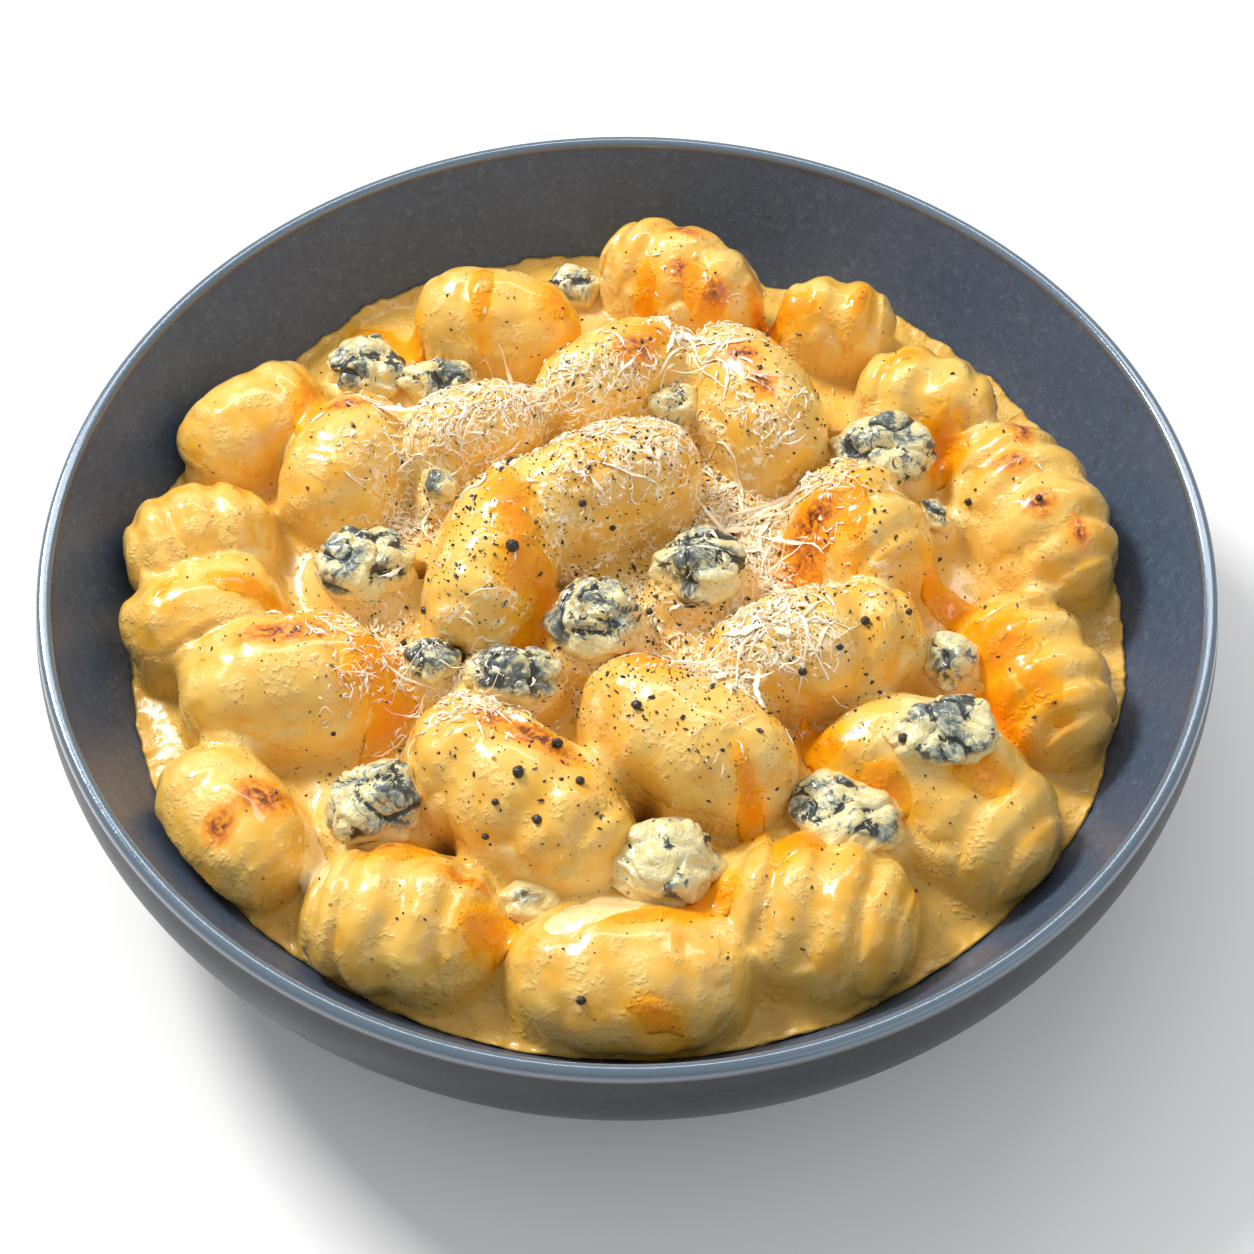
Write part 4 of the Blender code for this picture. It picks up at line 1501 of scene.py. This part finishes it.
@dataclass
class PepperMaker:
    """Scatters whole peppercorns and cracked flecks of pepper."""

    heap: HeapMap
    flecks: int = 5200
    largest_fleck: float = 0.5
    wrinkles: float = 0.16
    reach: float = 80.0
    seed: int = 5
    corns: tuple[Triple, ...] = (
        (-19.3, -4.4, 1.15), (39.4, -17.5, 0.85), (47.1, -13.8, 0.65), (1.6, -35.4, 0.85),
        (-17.1, -47.8, 1.0), (-11.1, -40.5, 0.95), (-7.3, -48.6, 0.8), (-14.0, -54.7, 0.8),
        (-20.7, -51.8, 0.6), (-22.3, -55.2, 0.6), (-6.7, -83.7, 0.8), (44.4, -40.2, 0.9),
        (28.9, -25.8, 0.75), (35.0, -22.8, 0.6), (60.2, 16.3, 0.75), (71.2, 11.4, 0.65), (3.8, -6.6, 0.7),
        (-38.4, -11.4, 0.6), (-34.6, -9.0, 0.7), (-20.4, 18.1, 0.8), (-7.7, 7.4, 0.7), (-2.6, 6.6, 0.6),
    )

    def whole(self) -> Mesh:
        """The whole peppercorns, a little wrinkled."""
        shape = bmesh.new()
        bmesh.ops.create_icosphere(shape, subdivisions=4, radius=1.0)
        ball, faces = small_shape(shape)
        draw = np.random.default_rng(self.seed)
        grains = []
        for number, (x, y, radius) in enumerate(self.corns):
            wrinkled = ball * (1.0 + self.wrinkles * noise_at(ball, 0.4, number)[:, None])
            ground = self.heap.sample("cover", np.array([x]), np.array([y]))[0]
            place = np.array((x, y, ground + radius * 0.45))
            grains.append(wrinkled * radius * draw.uniform(0.85, 1.0, 3) + place)
        return joined_mesh("peppercorns", np.array(grains), faces)

    def cracked(self) -> Mesh:
        """The cracked flecks, thickest over the middle and the front of the heap."""
        shape = bmesh.new()
        bmesh.ops.create_icosphere(shape, subdivisions=1, radius=1.0)
        ball, faces = small_shape(shape)
        draw = np.random.default_rng(self.seed + 1)
        x, y = draw.normal(0, 28, self.flecks), draw.normal(-1, 29, self.flecks)
        near = np.hypot(x, y) < self.reach
        x, y = x[near], y[near]
        size = np.minimum(0.09 + draw.exponential(0.085, len(x)), self.largest_fleck)
        jagged = ball[None] * draw.uniform(0.55, 1.3, (len(x), len(ball), 1))
        length, width = size * draw.uniform(1.0, 1.7, len(x)), size * draw.uniform(0.5, 1.0, len(x))
        body = jagged * np.stack([length, width, size * 0.6], axis=1)[:, None, :]
        turn = draw.uniform(0, math.pi, (len(x), 1))
        height = self.heap.sample("cover", x, y) + size * 0.3 + 0.06
        placed = np.stack([body[..., 0] * np.cos(turn) - body[..., 1] * np.sin(turn) + x[:, None],
                           body[..., 0] * np.sin(turn) + body[..., 1] * np.cos(turn) + y[:, None],
                           body[..., 2] + height[:, None]], axis=2)
        return joined_mesh("pepper_flecks", placed, faces)


@dataclass
class BowlMaker:
    """Turns the bowl from its section and tells its inside from its outside."""

    steps: int = 256

    def build(self) -> Mesh:
        """The bowl's mesh, with its outside painted on."""
        floor = BOWL.floor_thickness + BOWL.foot_depth
        inner, outer = BOWL.inner_wall(34)[::-1], BOWL.outer_wall(34)
        (inner_r, inner_z), (outer_r, outer_z) = inner[-1], outer[0]
        middle, half = (inner_r + outer_r) / 2, (outer_r - inner_r) / 2
        lip = []
        for turn in np.linspace(0.2, math.pi - 0.2, 11):
            base = inner_z + (outer_z - inner_z) * (1 - math.cos(turn)) / 2
            crown = (BOWL.height - base) * math.sin(turn) ** 0.75
            lip.append((middle - half * math.cos(turn), base + crown))
        edge, inside = BOWL.foot_radius, BOWL.foot_radius - BOWL.foot_width
        foot = [(edge - 0.3, 2.6), (edge - 0.5, 0.4), (edge - 0.9, 0.0), (inside + 0.4, 0.0), (inside, 0.4),
                (inside - 0.6, BOWL.foot_depth - 0.3), (inside - 1.2, BOWL.foot_depth)]
        base = [(25.0, BOWL.foot_depth), (0.0, BOWL.foot_depth)]
        section = [(0.0, floor), (25.0, floor)] + inner + lip + outer + foot + base
        shape = bmesh.new()
        verts = [shape.verts.new((radius * MM, 0.0, height * MM)) for radius, height in section]
        edges = [shape.edges.new(pair) for pair in zip(verts, verts[1:])]
        bmesh.ops.spin(shape, geom=verts + edges, cent=(0, 0, 0), axis=(0, 0, 1), angle=2 * math.pi,
                       steps=self.steps, use_merge=True)
        bmesh.ops.remove_doubles(shape, verts=shape.verts, dist=1e-6)
        bmesh.ops.recalc_face_normals(shape, faces=shape.faces)
        mesh = mesh_from("bowl_fine", shape)
        points = read_points(mesh) / MM
        radius, height = np.hypot(points[:, 0], points[:, 1]), points[:, 2]
        beyond = radius > BOWL.wall_radius(height) + BOWL.lip_thickness / 2
        paint(mesh, outside=np.where(height > floor + 0.5, beyond, 1.0).astype(float))
        return mesh


@dataclass
class Studio:
    """Pale floor, soft light and the camera at the photograph's angle."""

    distance: float = 450.0
    elevation: float = 53.97
    target: float = 21.24
    focal_pixels: float = 2530.0
    roll: float = 0.3
    sensor: float = 36.0
    floor_size: float = 1.6
    lit: Triple = (0.0, 0.0, 0.03)
    sky_colour: Triple = (0.97, 0.98, 1.0)
    sky_strength: float = 0.54
    lamps: tuple[tuple, ...] = (
        ("key", (-0.55, 0.5, 0.75), (0.26, 0.26), 10.6, (1.0, 0.985, 0.96)),
        ("back", (0.0, 0.6, 0.82), (1.0, 0.14), 2.6, (1.0, 0.99, 0.975)),
        ("fill", (0.7, -0.55, 0.6), (0.9, 0.9), 1.5, (0.97, 0.985, 1.0)),
    )

    def floor(self, finish: Finish) -> None:
        """The floor, which is no part of the object."""
        shape = bmesh.new()
        bmesh.ops.create_grid(shape, x_segments=8, y_segments=8, size=self.floor_size)
        mesh = mesh_from("floor", shape)
        mesh.materials.append(finish.material)
        plane = add_object("floor", mesh)

    def light(self, name: str, place: Triple, size: tuple[float, float], power: float,
              colour: Triple) -> None:
        """One soft light that faces the food.

        Args:
            name: Its name.
            place: Where it hangs, in metres.
            size: Its width and height, in metres.
            power: Its power, in watts.
            colour: Its colour.
        """
        lamp = bpy.data.lights.new(name, "AREA")
        lamp.shape = "RECTANGLE"
        lamp.size, lamp.size_y = size
        lamp.energy = power
        lamp.color = colour
        holder = add_object(name, lamp)
        holder.location = place
        holder.rotation_mode = "QUATERNION"
        holder.rotation_quaternion = (Vector(place) - Vector(self.lit)).to_track_quat("Z", "Y")

    def lights(self) -> None:
        """Key from the back left, a softbox behind that lights the lip, a weak fill and a pale sky."""
        for lamp in self.lamps:
            self.light(*lamp)
        world = bpy.data.worlds.new("sky")
        world.use_nodes = True
        sky = world.node_tree.nodes["Background"]
        sky.inputs["Color"].default_value = (*self.sky_colour, 1.0)
        sky.inputs["Strength"].default_value = self.sky_strength
        bpy.context.scene.world = world
        bpy.context.scene.view_settings.view_transform = "Standard"

    def camera(self) -> None:
        """The camera, above the front of the bowl."""
        lens = bpy.data.cameras.new("camera")
        lens.sensor_width = self.sensor
        lens.lens = self.sensor * self.focal_pixels / IMAGE_SIZE
        lens.clip_start = 0.01
        holder = add_object("camera", lens)
        tilt = math.radians(self.elevation)
        holder.location = (0.0, -self.distance * MM * math.cos(tilt),
                           (self.target + self.distance * math.sin(tilt)) * MM)
        roll = Matrix.Rotation(math.radians(self.roll), 3, "Z")
        holder.rotation_mode = "QUATERNION"
        holder.rotation_quaternion = (Matrix.Rotation(math.pi / 2 - tilt, 3, "X") @ roll).to_quaternion()
        bpy.context.scene.camera = holder


def dress_with_map(mesh: Mesh, heap: HeapMap, **fixed: float) -> None:
    """Paint the heap's map on a mesh, read from above.

    Args:
        mesh: The mesh, in place.
        heap: The heap's map.
        fixed: Values that hold all over the mesh instead of the map's.
    """
    points = read_points(mesh) / MM
    names = ("film", "hollow", "stain", "browning", "pit_shade", "cheddar", "grated")
    values = {name: heap.below(name, points) for name in names}
    # painted shade in the pits only where the surface lies deep below the skin
    sunk = heap.below("skin", points) - points[:, 2]
    values["pit_shade"] *= smoothstep(0.3, 1.8, sunk)
    values["thick"] = values.pop("cheddar")
    for name, value in fixed.items():
        values[name] = np.full(len(points), value)
    # the grooves' depth adds to the painted shade in the hollows
    groove = mesh.attributes.get("groove")
    if groove is not None:
        depths = np.empty(len(points))
        groove.data.foreach_get("value", depths)
        values["hollow"] = np.maximum(values["hollow"], 0.55 * depths)
    paint(mesh, **values)


def main() -> None:
    """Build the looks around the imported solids."""
    logging.basicConfig(level=logging.INFO, format="%(message)s")
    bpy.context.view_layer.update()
    effects = SharedEffects()
    shop = Workshop()
    dough, sauce_finish, cheddar = DoughFinish(effects), SauceFinish(effects), CheddarFinish(effects)
    blue, grated, pepper = BlueCheeseFinish(effects), GratedFinish(effects), PepperFinish(effects)
    shop.add("bowl_glazed", BowlMaker().build(), GlazeFinish(effects), Slot.GLAZE, ["bowl"])

    gnocchi = GnocchiMaker()
    gnocchi.build()
    heap = HeapMap()
    heap.survey(gnocchi.meshes)
    for number, mesh in enumerate(gnocchi.meshes, start=1):
        dress_with_map(mesh, heap)
        shop.add(f"gnocco_{number:02d}_fine", mesh, dough, Slot.DOUGH, [f"gnocco_{number:02d}"])

    sauce = SauceMaker(heap)
    bed = sauce.bed()
    dress_with_map(bed, heap)
    shop.add("sauce_bed", bed, sauce_finish, Slot.SAUCE, ["sauce"])
    drapes = sauce.melted("cream_drapes", "cream", thickness=0.4, cells=380)
    dress_with_map(drapes, heap, film=1.2, hollow=0.0, stain=0.0, cream=1.0)
    shop.add("cream_drapes", drapes, sauce_finish, Slot.SAUCE)
    melt = sauce.melted("melted_cheddar", "cheddar", thickness=0.55, cells=440)
    dress_with_map(melt, heap)
    shop.add("melted_cheddar", melt, cheddar, Slot.SAUCE)

    crumbles = CrumbleMaker()
    for number, lump in enumerate(CRUMBLES, start=1):
        mesh = crumbles.build(number, lump, heap)
        shop.add(f"blue_cheese_{number:02d}_fine", mesh, blue, Slot.BLUE, [f"blue_cheese_{number:02d}"])

    shreds = ShredMaker(heap)
    for cut in (STRANDS, FLAKES, RIBBONS):
        shop.add(cut.name, shreds.build(cut), grated, Slot.GRATED, smooth=False)
    peppers = PepperMaker(heap)
    shop.add("peppercorns", peppers.whole(), pepper, Slot.PEPPER)
    shop.add("pepper_flecks", peppers.cracked(), pepper, Slot.PEPPER, smooth=False)

    studio = Studio()
    studio.floor(FloorFinish(effects))
    studio.lights()
    studio.camera()
    LOG.info("all pieces: %d triangles", shop.triangles)


if __name__ == "__main__":
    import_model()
    main()
